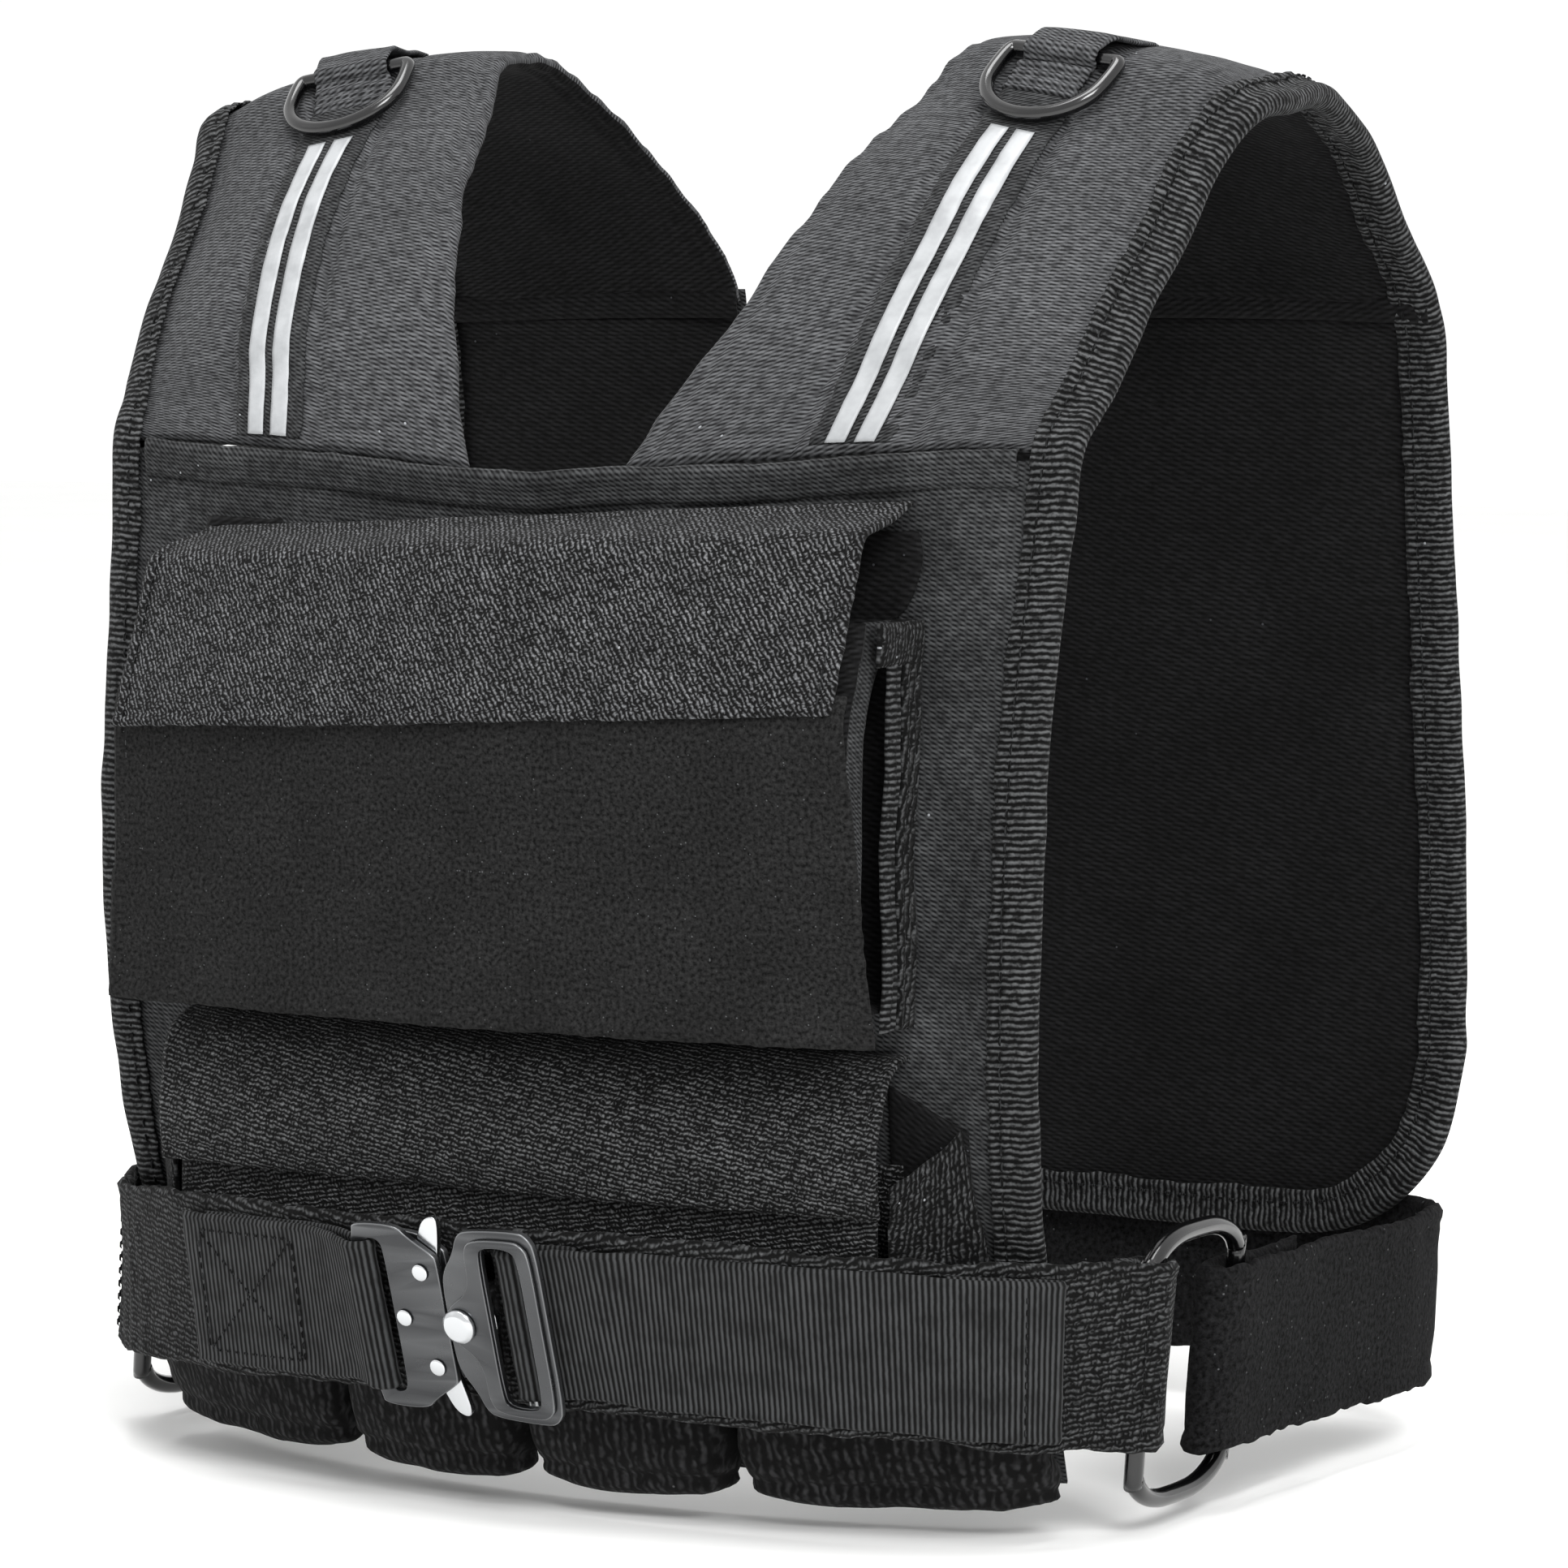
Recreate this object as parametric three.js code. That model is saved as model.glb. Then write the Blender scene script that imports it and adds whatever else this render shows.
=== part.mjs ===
// Weighted vest, worn: the origin lies midway between the shoulders, at the height where the straps rest.
// X runs to the wearer's left, the front of the vest faces -Y, and Z points up. All sizes are in millimetres.
import * as THREE from 'three';

const group = new THREE.Group();
const vec = (x, y, z) => new THREE.Vector3(x, y, z);
const lerp = (a, b, t) => a + (b - a) * t;

// Driving sizes of the body
const clothThickness = 4;
const seamGap = 0.4;
const joinGap = 2;
const shoulderHalf = 198;
const neckHalf = 88;
const frontReach = 108;
const backReach = 143;
const neckDrop = 131;
const yokeDrop = 78;
const frontHalf = 176;
const frontDrop = 434;
const backHalf = 198;
const backDrop = 384;
const backCornerRadius = 60;
const bindingWidth = 18;
const bindingWall = 1.1;
const bindingGap = 0.7;
const bindingUnder = 0.8;
const hemHeight = 9;
const hemThickness = 2;

// Driving sizes of the shoulder trim
const bandWidth = 27;
const bandThickness = 1.2;
const stripeWidth = 6.4;
const stripeSpace = 3;
const stripeThickness = 0.6;
const ringWire = 4.8;
const ringWidth = 46;
const ringHeight = 33;
const loopTape = 1.6;
const loopWidth = 27;
const loopLength = 24;

// Driving sizes of the pouches
const pouchHalf = 130;
const pouchTop = 150;
const pouchHeight = 136;
const pouchDepth = 37;
const pouchMouth = 21;
const pouchWall = 2.4;
const pouchBulge = 13;
const flapThickness = 3;
const flapDrop = 53;
const flapTilt = 6;
const facePanelThickness = 3.2;
const facePanelTop = 192;
const facePanelHeight = 103;
const faceHalfTop = 131;
const faceHalfBottom = 139;
const tabThickness = 3;
const tabBar = 13;
const tabStrip = 15;
const tabDrop = 21;
const tabOverhang = 6;
const lowerTop = 306;
const lowerHeight = 62;
const lowerDepth = 19;
const lowerFlapDrop = 42;
const lowerMouth = 28;
const lowerBulge = 9;
const gussetBulge = 8;
const weightHeight = 65;
const weightHang = 9;
const weightDepth = 24;
const weightEndDepth = 14;
const weightHalf = 158;
const weightSplit = 70;
const weightSpace = 5;

// Driving sizes of the belt, its rings and the webbing
const beltHeight = 58;
const beltThickness = 3;
const beltDrop = 384;
const beltSideFall = 8;
const beltBackFall = 16;
const beltSideDrop = beltDrop + beltSideFall;
const beltBackDrop = beltDrop + beltBackFall;
const beltFallReach = 60;
const beltLeanX = 5;
const beltLeanY = 9;
const leanFrom = 60;
const leanReach = 80;
const beltFront = 141;
const beltBack = 152;
const beltSide = 190;
const beltSplit = 3;
const oblongHeight = 88;
const oblongFall = 2.5;
const oblongDrop = (beltSideDrop + beltBackDrop) / 2 + oblongFall;
const oblongWidth = 64;
const oblongWire = 6;
const oblongSide = 186.2;
const oblongCentre = 35;
const oblongCornerWide = 24;
const oblongCornerTall = 12;
const webbingWidth = 50;
const webbingThickness = 1.8;

// Driving sizes of the buckle
const plateThickness = 2.2;
const plateHeight = 62;
const frameHeight = 65;
const leverThickness = 2.4;
const rivetRadius = 2.7;
const rivetHead = 0.9;
const rivetInset = 6.4;
const rivetRise = 16;
const receiverWidth = 31;
const receiverRight = -6;
const slotShare = 0.83;
const insertWidth = 36.5;
const insertRight = 31.2;
const rimThickness = 1.2;
const tongueLength = 26;
const tongueHalf = 8;
const studPin = 2;
const studRadius = 5.6;
const studHeight = 2.4;
const buckleCentreX = 0;
const buckleStand = 2.2;

function material(color, roughness, metalness) {
  return new THREE.MeshStandardMaterial({ color, roughness, metalness });
}

const nylon = material(0x2b2c2e, 0.85, 0);
const tape = material(0x202123, 0.8, 0);
const lining = material(0x141415, 0.95, 0);
const loopCloth = material(0x232426, 0.95, 0);
const fleece = material(0x19191b, 0.97, 0);
const reflective = material(0xc9cbcd, 0.35, 0);
const blackMetal = material(0x1a1b1d, 0.35, 0.8);
const steel = material(0xc6c8ca, 0.25, 1);

// A closed solid from flat lists of corner points and triangles
function solid(points, triangles) {
  const geometry = new THREE.BufferGeometry();
  const flat = points.flatMap((p) => [p.x, p.y, p.z]);
  geometry.setAttribute('position', new THREE.Float32BufferAttribute(flat, 3));
  geometry.setIndex(triangles.flat());
  return outward(geometry);
}

// Turns the faces out where the volume comes out negative
function outward(geometry) {
  const p = geometry.attributes.position;
  const index = geometry.index.array;
  let volume = 0;
  const corner = (i) => vec(p.getX(i), p.getY(i), p.getZ(i));
  for (let i = 0; i < index.length; i += 3) {
    volume += corner(index[i]).dot(corner(index[i + 1]).cross(corner(index[i + 2])));
  }
  if (volume < 0) {
    for (let i = 0; i < index.length; i += 3) {
      [index[i], index[i + 1]] = [index[i + 1], index[i]];
    }
  }
  geometry.computeVertexNormals();
  return geometry;
}

function mirrored(geometry) {
  const copy = geometry.clone();
  copy.scale(-1, 1, 1);
  return outward(copy);
}

function add(name, geometry, look) {
  const mesh = new THREE.Mesh(geometry, look);
  mesh.name = name;
  group.add(mesh);
}

function addPair(name, geometry, look) {
  add(`${name}_left`, geometry, look);
  add(`${name}_right`, mirrored(geometry), look);
}

// Surface normals of a grid of points, from each point's neighbours along and across
function gridNormals(grid) {
  const last = grid.length - 1;
  return grid.map((row, r) => row.map((point, c) => {
    const along = grid[Math.min(r + 1, last)][c].clone().sub(grid[Math.max(r - 1, 0)][c]);
    const across = row[Math.min(c + 1, row.length - 1)].clone().sub(row[Math.max(c - 1, 0)]);
    return along.cross(across).normalize();
  }));
}

// A sheet of cloth: both faces of a grid of points, low and high above it, joined round the rim
function sheet(grid, low, high) {
  const normals = gridNormals(grid);
  const rows = grid.length;
  const cols = grid[0].length;
  const lift = (d) => grid.flatMap((row, r) => row.map((p, c) => p.clone().addScaledVector(normals[r][c], d)));
  const points = [...lift(low), ...lift(high)];
  const at = (r, c, side) => side * rows * cols + r * cols + c;
  const triangles = [];
  for (let r = 0; r < rows - 1; r++) {
    for (let c = 0; c < cols - 1; c++) {
      triangles.push([at(r, c, 0), at(r, c + 1, 0), at(r + 1, c + 1, 0)]);
      triangles.push([at(r, c, 0), at(r + 1, c + 1, 0), at(r + 1, c, 0)]);
      triangles.push([at(r, c, 1), at(r + 1, c + 1, 1), at(r, c + 1, 1)]);
      triangles.push([at(r, c, 1), at(r + 1, c, 1), at(r + 1, c + 1, 1)]);
    }
  }
  const rim = [];
  for (let c = 0; c < cols - 1; c++) rim.push([0, c]);
  for (let r = 0; r < rows - 1; r++) rim.push([r, cols - 1]);
  for (let c = cols - 1; c > 0; c--) rim.push([rows - 1, c]);
  for (let r = rows - 1; r > 0; r--) rim.push([r, 0]);
  rim.forEach(([r, c], i) => {
    const [r2, c2] = rim[(i + 1) % rim.length];
    triangles.push([at(r, c, 0), at(r, c, 1), at(r2, c2, 1)]);
    triangles.push([at(r, c, 0), at(r2, c2, 1), at(r2, c2, 0)]);
  });
  return solid(points, triangles);
}

// A run of equal closed outlines joined one to the next, capped at both ends or closed on itself
function loft(sections, closed = false) {
  const size = sections[0].length;
  const count = sections.length;
  const points = sections.flat();
  const triangles = [];
  for (let s = 0; s < (closed ? count : count - 1); s++) {
    const next = (s + 1) % count;
    for (let i = 0; i < size; i++) {
      const j = (i + 1) % size;
      triangles.push([s * size + i, s * size + j, next * size + j]);
      triangles.push([s * size + i, next * size + j, next * size + i]);
    }
  }
  if (!closed) {
    for (const [s, turned] of [[0, true], [count - 1, false]]) {
      for (const [a, b, c] of capTriangles(sections[s])) {
        const face = [s * size + a, s * size + b, s * size + c];
        triangles.push(turned ? face.reverse() : face);
      }
    }
  }
  return solid(points, triangles);
}

// Triangles that fill one flat outline, wound the way the outline runs
function capTriangles(section) {
  const middle = section.reduce((sum, p) => sum.add(p), vec(0, 0, 0)).divideScalar(section.length);
  const normal = vec(0, 0, 0);
  section.forEach((p, i) => {
    const q = section[(i + 1) % section.length];
    normal.add(p.clone().sub(middle).cross(q.clone().sub(middle)));
  });
  normal.normalize();
  const u = section[1].clone().sub(section[0]).normalize();
  const v = normal.clone().cross(u);
  const flat = section.map((p) => new THREE.Vector2(p.clone().sub(middle).dot(u), p.clone().sub(middle).dot(v)));
  return THREE.ShapeUtils.triangulateShape(flat, []);
}

// Straps: one row for each station, from the front hem over the shoulder to the back yoke.
// x is a share of the shoulder or neck half width, y of the front or back reach, z of the neck or yoke drop.
const strapRows = [
  { side: 'front', outX: 0.889, outY: 0.815, outZ: 0.924, inX: 0.318, inY: 0.985, inZ: 0.985, crown: 4 },
  { side: 'front', outX: 0.899, outY: 0.741, outZ: 0.840, inX: 0.477, inY: 0.843, inZ: 0.779, crown: 6 },
  { side: 'front', outX: 0.909, outY: 0.685, outZ: 0.779, inX: 0.591, inY: 0.722, inZ: 0.626, crown: 9 },
  { side: 'front', outX: 0.924, outY: 0.556, outZ: 0.618, inX: 0.727, inY: 0.519, inZ: 0.412, crown: 10.5 },
  { side: 'front', outX: 0.939, outY: 0.398, outZ: 0.466, inX: 0.795, inY: 0.389, inZ: 0.275, crown: 10.5 },
  { side: 'front', outX: 0.960, outY: 0.241, outZ: 0.267, inX: 0.909, inY: 0.111, inZ: 0.107, crown: 9 },
  { side: 'front', outX: 0.995, outY: 0.093, outZ: 0.15, inX: 0.977, inY: 0.0, inZ: 0.008, crown: 8 },
  { side: 'back', outX: 1.0, outY: 0.084, outZ: 0.21, inX: 1.011, inY: 0.126, inZ: -0.03, crown: 6.5 },
  { side: 'back', outX: 0.990, outY: 0.252, outZ: 0.179, inX: 1.0, inY: 0.266, inZ: -0.013, crown: 5 },
  { side: 'back', outX: 0.980, outY: 0.448, outZ: 0.308, inX: 0.955, inY: 0.448, inZ: 0.167, crown: 4 },
  { side: 'back', outX: 0.975, outY: 0.573, outZ: 0.462, inX: 0.909, inY: 0.601, inZ: 0.372, crown: 4 },
  { side: 'back', outX: 0.975, outY: 0.685, outZ: 0.692, inX: 0.864, inY: 0.720, inZ: 0.577, crown: 4 },
  { side: 'back', outX: 0.980, outY: 0.769, outZ: 0.846, inX: 0.807, inY: 0.811, inZ: 0.795, crown: 3 },
  { side: 'back', outX: 0.985, outY: 0.818, outZ: 1.0, inX: 0.773, inY: 0.853, inZ: 0.974, crown: 2 },
];

function strapEnds(row) {
  const reach = row.side === 'front' ? -frontReach : backReach;
  const drop = row.side === 'front' ? neckDrop : yokeDrop;
  return {
    inner: vec(neckHalf * row.inX, reach * row.inY, -drop * row.inZ),
    outer: vec(shoulderHalf * row.outX, reach * row.outY, -drop * row.outZ),
  };
}

// The strap is flat under the band and under the binding, and crowned between them
const bandFrom = 0.28;
const bandTo = 0.62;

function crownShare(u) {
  return 4 * u * (1 - u);
}

function strapColumns(row) {
  const { inner, outer } = strapEnds(row);
  const bound = 1 - bindingWidth / inner.distanceTo(outer);
  return [0, bandFrom / 2, bandFrom, bandTo, (bandTo + bound) / 2, bound, 1];
}

const strapSpine = strapRows.map((row) => {
  const { inner, outer } = strapEnds(row);
  return inner.clone().lerp(outer, 0.5);
});

function strapOutward(r) {
  const { inner, outer } = strapEnds(strapRows[r]);
  const ahead = strapSpine[Math.min(r + 1, strapSpine.length - 1)];
  const behind = strapSpine[Math.max(r - 1, 0)];
  return outer.clone().sub(inner).cross(ahead.clone().sub(behind)).normalize();
}

function strapPoint(r, u) {
  const { inner, outer } = strapEnds(strapRows[r]);
  const point = inner.clone().lerp(outer, u);
  const share = piecewise(strapColumns(strapRows[r]), u);
  return point.addScaledVector(strapOutward(r), strapRows[r].crown * share);
}

// The crown at u, straight between the columns so that what lies on the strap meets flat cloth
function piecewise(columns, u) {
  const i = Math.min(columns.findIndex((c, k) => k > 0 && u <= c + 1e-9), columns.length - 1);
  const [a, b] = [columns[i - 1], columns[i]];
  return lerp(crownShare(a), crownShare(b), (u - a) / (b - a));
}

// Columns run from the armhole to the neck, so that the grid's normals point away from the body
const strapGrid = strapRows.map((row, r) => strapColumns(row).reverse().map((u) => strapPoint(r, u)));
const half = clothThickness / 2;
addPair('strap', sheet(strapGrid, -half, half), nylon);

// The strap's surface between its stations: v counts stations, u runs from neck to armhole
function onStrap(v, u) {
  const r = Math.min(Math.floor(v), strapRows.length - 2);
  return strapPoint(r, u).lerp(strapPoint(r + 1, u), v - r);
}

// Front panel: one row for each height. Shares of the half width, the reach and the drop.
const frontRows = [
  { edgeX: 1.0, edgeY: 0.815, middleY: 1.0, z: 0 },
  { edgeX: 0.989, edgeY: 0.843, middleY: 1.02, z: 0.075 },
  { edgeX: 0.975, edgeY: 0.907, middleY: 1.04, z: 0.227 },
  { edgeX: 0.970, edgeY: 0.950, middleY: 1.05, z: 0.376 },
  { edgeX: 0.960, edgeY: 0.944, middleY: 1.05, z: 0.541 },
  { edgeX: 0.949, edgeY: 0.898, middleY: 1.03, z: 0.683 },
  { edgeX: 0.938, edgeY: 0.824, middleY: 1.0, z: 0.785 },
  { edgeX: 0.926, edgeY: 0.704, middleY: 0.954, z: 0.895 },
  { edgeX: 0.909, edgeY: 0.574, middleY: 0.898, z: 1 },
];
const frontShares = [0, 0.2, 0.4, 0.6, 0.75];
const hemEdgeZ = -neckDrop * strapRows[0].outZ;
const hemMiddleZ = -neckDrop;

// Height of the neckline at x: it sags from the bindings towards the middle
function hemZ(x) {
  return lerp(hemMiddleZ, hemEdgeZ, Math.abs(x) / frontHalf);
}

// Column positions in a row; the last two bound the armhole binding
function frontColumns(row) {
  return [...frontShares, 1 - bindingWidth / (frontHalf * row.edgeX), 1];
}

function frontDepth(row, share) {
  return -frontReach * lerp(row.middleY, row.edgeY, share ** 2);
}

const frontGrid = frontRows.map((row) => {
  const columns = frontColumns(row);
  const shares = [...columns.slice(1).reverse().map((s) => -s), ...columns];
  return shares.map((s) => {
    const x = frontHalf * row.edgeX * s;
    return vec(x, frontDepth(row, s), lerp(hemZ(x) - joinGap, -frontDrop, row.z));
  });
});
add('front_panel', sheet(frontGrid, -half, half), nylon);

// Y of a row at a share of its half width, straight between the columns
function frontRowY(row, share) {
  const columns = frontColumns(row);
  const i = Math.max(1, columns.findIndex((c) => share <= c + 1e-9));
  const t = (share - columns[i - 1]) / (columns[i] - columns[i - 1]);
  return lerp(frontDepth(row, columns[i - 1]), frontDepth(row, columns[i]), t);
}

// Y of the front panel's middle surface at (x, z)
function frontY(x, z) {
  const top = hemZ(x) - joinGap;
  const t = THREE.MathUtils.clamp((top - z) / (top + frontDrop), 0, 1);
  const r = Math.max(1, frontRows.findIndex((row) => row.z >= t));
  const [above, below] = [frontRows[r - 1], frontRows[r]];
  const k = (t - above.z) / (below.z - above.z);
  const share = Math.min(Math.abs(x) / (frontHalf * lerp(above.edgeX, below.edgeX, k)), 1);
  return lerp(frontRowY(above, share), frontRowY(below, share), k);
}

// Y of a surface that lies a given distance off the front panel at (x, z), allowing for the slopes there
function offFront(x, z, lift) {
  const slopeX = frontY(Math.abs(x) + 1, z) - frontY(Math.abs(x) - 1, z);
  const slopeZ = frontY(x, z + 1) - frontY(x, z - 1);
  return frontY(x, z) - lift * Math.hypot(1, slopeX / 2, slopeZ / 2);
}

// Back panel: straight sides down to round lower corners
const backRows = [
  { edgeX: 0.985, edgeY: 0.818, middleY: 0.867, z: 0 },
  { edgeX: 0.990, edgeY: 0.853, middleY: 0.888, z: 0.06 },
  { edgeX: 0.995, edgeY: 0.902, middleY: 0.937, z: 0.31 },
  { edgeX: 1.0, edgeY: 0.951, middleY: 0.972, z: 0.57 },
  { edgeX: 1.0, edgeY: 0.96, middleY: 0.979, z: 0.75 },
];
const backLow = { edgeY: 0.95, middleY: 0.979 };
const cornerSteps = 3;
const backShares = [0, 0.3, 0.55, 0.77, 0.908, 1];

function backTable() {
  const rows = backRows.map((row) => ({
    x: backHalf * row.edgeX,
    edgeY: backReach * row.edgeY,
    middleY: backReach * row.middleY,
    z: lerp(-yokeDrop - joinGap, -backDrop, row.z),
  }));
  for (let i = 0; i <= cornerSteps; i++) {
    const turn = (i / cornerSteps) * (Math.PI / 2);
    rows.push({
      x: backHalf - backCornerRadius * (1 - Math.cos(turn)),
      edgeY: backReach * backLow.edgeY,
      middleY: backReach * backLow.middleY,
      z: -backDrop + backCornerRadius * (1 - Math.sin(turn)),
    });
  }
  return rows;
}

const backStations = backTable();

function backY(x, z) {
  const found = backStations.findIndex((row) => row.z <= z + 1e-6);
  const r = found < 0 ? backStations.length - 1 : Math.max(found, 1);
  const [a, b] = [backStations[r - 1], backStations[r]];
  const k = (a.z - z) / (a.z - b.z);
  const share = Math.min(Math.abs(x) / backHalf, 1);
  return lerp(lerp(a.middleY, b.middleY, k), lerp(a.edgeY, b.edgeY, k), share ** 3);
}

const backGrid = backStations.map((row) => {
  const shares = [...backShares.slice(1).reverse().map((s) => -s), ...backShares];
  return shares.map((s) => vec(row.x * s, backY(row.x * s, row.z), row.z));
});
add('back_panel', sheet(backGrid, -half, half), lining);

// Armhole binding: a folded tape over the edge of the front panel, the strap and the back panel.
// Each station has the edge, a point one binding width inside it and the outward normals at both.
const bindingEndRow = 6;

function backStation(x, z, inward) {
  const at = (px, pz) => vec(px, backY(px, pz), pz);
  const edge = at(x, z);
  const inner = at(x + inward.x * bindingWidth, z + inward.z * bindingWidth);
  const side = at(x + inward.z, z - inward.x).sub(edge);
  const normal = inner.clone().sub(edge).cross(side).normalize();
  if (normal.y < 0) normal.negate();
  return { edge, inner, edgeNormal: normal, innerNormal: normal };
}

// Station at a row of a grid whose edge and inner columns are given
function gridStation(grid, normals, r, edgeColumn, innerColumn) {
  return {
    edge: grid[r][edgeColumn],
    inner: grid[r][innerColumn],
    edgeNormal: normals[r][edgeColumn],
    innerNormal: normals[r][innerColumn],
  };
}

function bindingStations() {
  const stations = [];
  const frontNormals = gridNormals(frontGrid);
  const last = frontGrid[0].length - 1;
  for (let r = bindingEndRow; r >= 1; r--) stations.push(gridStation(frontGrid, frontNormals, r, last, last - 1));
  const strapNormals = gridNormals(strapGrid);
  strapGrid.forEach((row, r) => stations.push(gridStation(strapGrid, strapNormals, r, 0, 1)));
  backStations.forEach((row, i) => {
    if (i === 0) return;
    const turn = Math.max(0, i - backRows.length) / cornerSteps * (Math.PI / 2);
    stations.push(backStation(row.x, row.z, { x: -Math.cos(turn), z: Math.sin(turn) }));
  });
  const flat = backHalf - backCornerRadius;
  for (const share of [0.5, 0]) {
    stations.push(backStation(flat * share + seamGap, -backDrop, { x: 0, z: 1 }));
  }
  return stations;
}

function bindingSection({ edge, inner, edgeNormal, innerNormal }) {
  const out = edge.clone().sub(inner).normalize();
  const clear = half + bindingGap;
  const full = clear + bindingWall;
  const atEdge = (away, lift) => edge.clone().addScaledVector(out, away).addScaledVector(edgeNormal, lift);
  const atInner = (lift) => inner.clone().addScaledVector(innerNormal, lift);
  return [
    atInner(full),
    atEdge(bindingGap, full),
    atEdge(bindingGap + bindingWall, clear * 0.6),
    atEdge(bindingGap + bindingWall, -clear * 0.6),
    atEdge(bindingGap, -full - bindingUnder),
    atInner(-full - bindingUnder),
    atInner(-clear - bindingUnder),
    atEdge(bindingGap * 0.9, -clear - bindingUnder),
    atEdge(bindingGap * 0.9, clear),
    atInner(clear),
  ];
}

addPair('armhole_binding', loft(bindingStations().map(bindingSection)), tape);

// Neckline hem: a folded strip over the join of the straps and the front panel
const hemSteps = 12;
const hemCover = 1;

function hemRow(lift) {
  const end = frontHalf - bindingWidth - bindingWall;
  return Array.from({ length: hemSteps + 1 }, (unused, i) => {
    const x = lerp(-end, end, i / hemSteps);
    return vec(x, frontY(x, hemZ(x) + lift), hemZ(x) + lift);
  });
}

const hemGrid = [hemRow(hemCover), hemRow(-hemHeight / 2), hemRow(-hemHeight)];
const hemLift = half + seamGap * 2;
add('neckline_hem', sheet(hemGrid, hemLift, hemLift + hemThickness), nylon);

// A strip lying on the strap between two stations, offset sideways from the band's centre line
const bandTopShare = 0.41;
const bandBottomShare = 0.52;
const bandTopStation = 6.9;
const bandBottomStation = 0.12;

function bandShare(v) {
  return lerp(bandBottomShare, bandTopShare, (v - bandBottomStation) / (bandTopStation - bandBottomStation));
}

function stationSteps(from, to) {
  const inner = strapRows.map((row, r) => r).filter((r) => r > from && r < to);
  return [from, ...inner, to];
}

function stripByStations(from, to, offset, width, lift, thickness) {
  const grid = stationSteps(from, to).map((v) => {
    const rowWidth = onStrap(v, 0).distanceTo(onStrap(v, 1));
    const middle = bandShare(v) + offset / rowWidth;
    return [0.5, -0.5].map((s) => onStrap(v, middle + s * width / rowWidth));
  });
  return sheet(grid, lift, lift + thickness);
}

const bandLift = half + seamGap;
const stripeLift = bandLift + bandThickness + 0.3;
const ringStation = 5.75;
const stripeTop = 4.55;
const bandEndStation = 5.3;
addPair('shoulder_band', stripByStations(bandBottomStation, bandEndStation, 0, bandWidth, bandLift, bandThickness), nylon);
const stripeOffset = (stripeWidth + stripeSpace) / 2;
for (const [name, side] of [['inner', -1], ['outer', 1]]) {
  const strip = stripByStations(bandBottomStation, stripeTop, side * stripeOffset, stripeWidth, stripeLift,
    stripeThickness);
  addPair(`stripe_${name}`, strip, reflective);
}

// Shoulder ring: a D of round wire hinged in a tape loop that is sewn to the top of the strap
const ringAxisLift = half + seamGap + loopTape + 0.4 + ringWire / 2;

function ringFrame() {
  const share = bandShare(ringStation);
  const point = onStrap(ringStation, share);
  const across = onStrap(ringStation, share + 0.1).sub(onStrap(ringStation, share - 0.1)).normalize();
  const ahead = onStrap(ringStation - 0.5, share).sub(onStrap(ringStation + 0.35, share)).normalize();
  const normal = ahead.clone().cross(across).normalize();
  if (normal.z < 0) normal.negate();
  const down = across.clone().cross(normal).normalize();
  if (down.y > 0) down.negate();
  return { point, across, normal, down };
}

const ringPlace = ringFrame();

function inRingFrame(across, down, lift) {
  return ringPlace.point.clone()
    .addScaledVector(ringPlace.across, across)
    .addScaledVector(ringPlace.down, down)
    .addScaledVector(ringPlace.normal, lift);
}

// Closed wire of round section along flat points in a plane with the given normal
function wireRing(points, normal, radius, sides) {
  const count = points.length;
  const sections = points.map((p, i) => {
    const before = points[(i + count - 1) % count];
    const after = points[(i + 1) % count];
    const along = after.clone().sub(before).normalize();
    const sideways = along.clone().cross(normal).normalize();
    return Array.from({ length: sides }, (unused, k) => {
      const a = (k / sides) * 2 * Math.PI;
      return p.clone().addScaledVector(sideways, Math.cos(a) * radius).addScaledVector(normal, Math.sin(a) * radius);
    });
  });
  return loft(sections, true);
}

const ringTilt = THREE.MathUtils.degToRad(3);

function ringOutline() {
  const wide = (ringWidth - ringWire) / 2;
  const tall = ringHeight - ringWire;
  const corner = 3;
  const flat = [[-wide + corner, 0], [0, 0], [wide - corner, 0], [wide - 0.8, 0.8], [wide, corner + 1]];
  const arcSteps = 8;
  const arcStart = tall - wide * 0.86;
  for (let i = 0; i <= arcSteps; i++) {
    const a = (i / arcSteps) * Math.PI;
    flat.push([wide * Math.cos(a), arcStart + wide * 0.86 * Math.sin(a)]);
  }
  flat.push([-wide, corner + 1], [-wide + 0.8, 0.8]);
  return flat;
}

const ringPoints = ringOutline().map(([x, d]) => (
  inRingFrame(x, d * Math.cos(ringTilt), ringAxisLift - d * Math.sin(ringTilt))
));
const ringNormal = ringPlace.normal.clone().multiplyScalar(Math.cos(ringTilt))
  .addScaledVector(ringPlace.down, Math.sin(ringTilt));
addPair('d_ring', wireRing(ringPoints, ringNormal, ringWire / 2, 10), blackMetal);

// A ribbon of even thickness along a flat path, as a closed outline
function ribbonOutline(path, thickness) {
  const edge = (side) => path.map(([x, y], i) => {
    const [ax, ay] = path[Math.max(i - 1, 0)];
    const [bx, by] = path[Math.min(i + 1, path.length - 1)];
    const size = Math.hypot(bx - ax, by - ay);
    return [x - (by - ay) / size * side, y + (bx - ax) / size * side];
  });
  return [...edge(thickness / 2), ...edge(-thickness / 2).reverse()];
}

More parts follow.
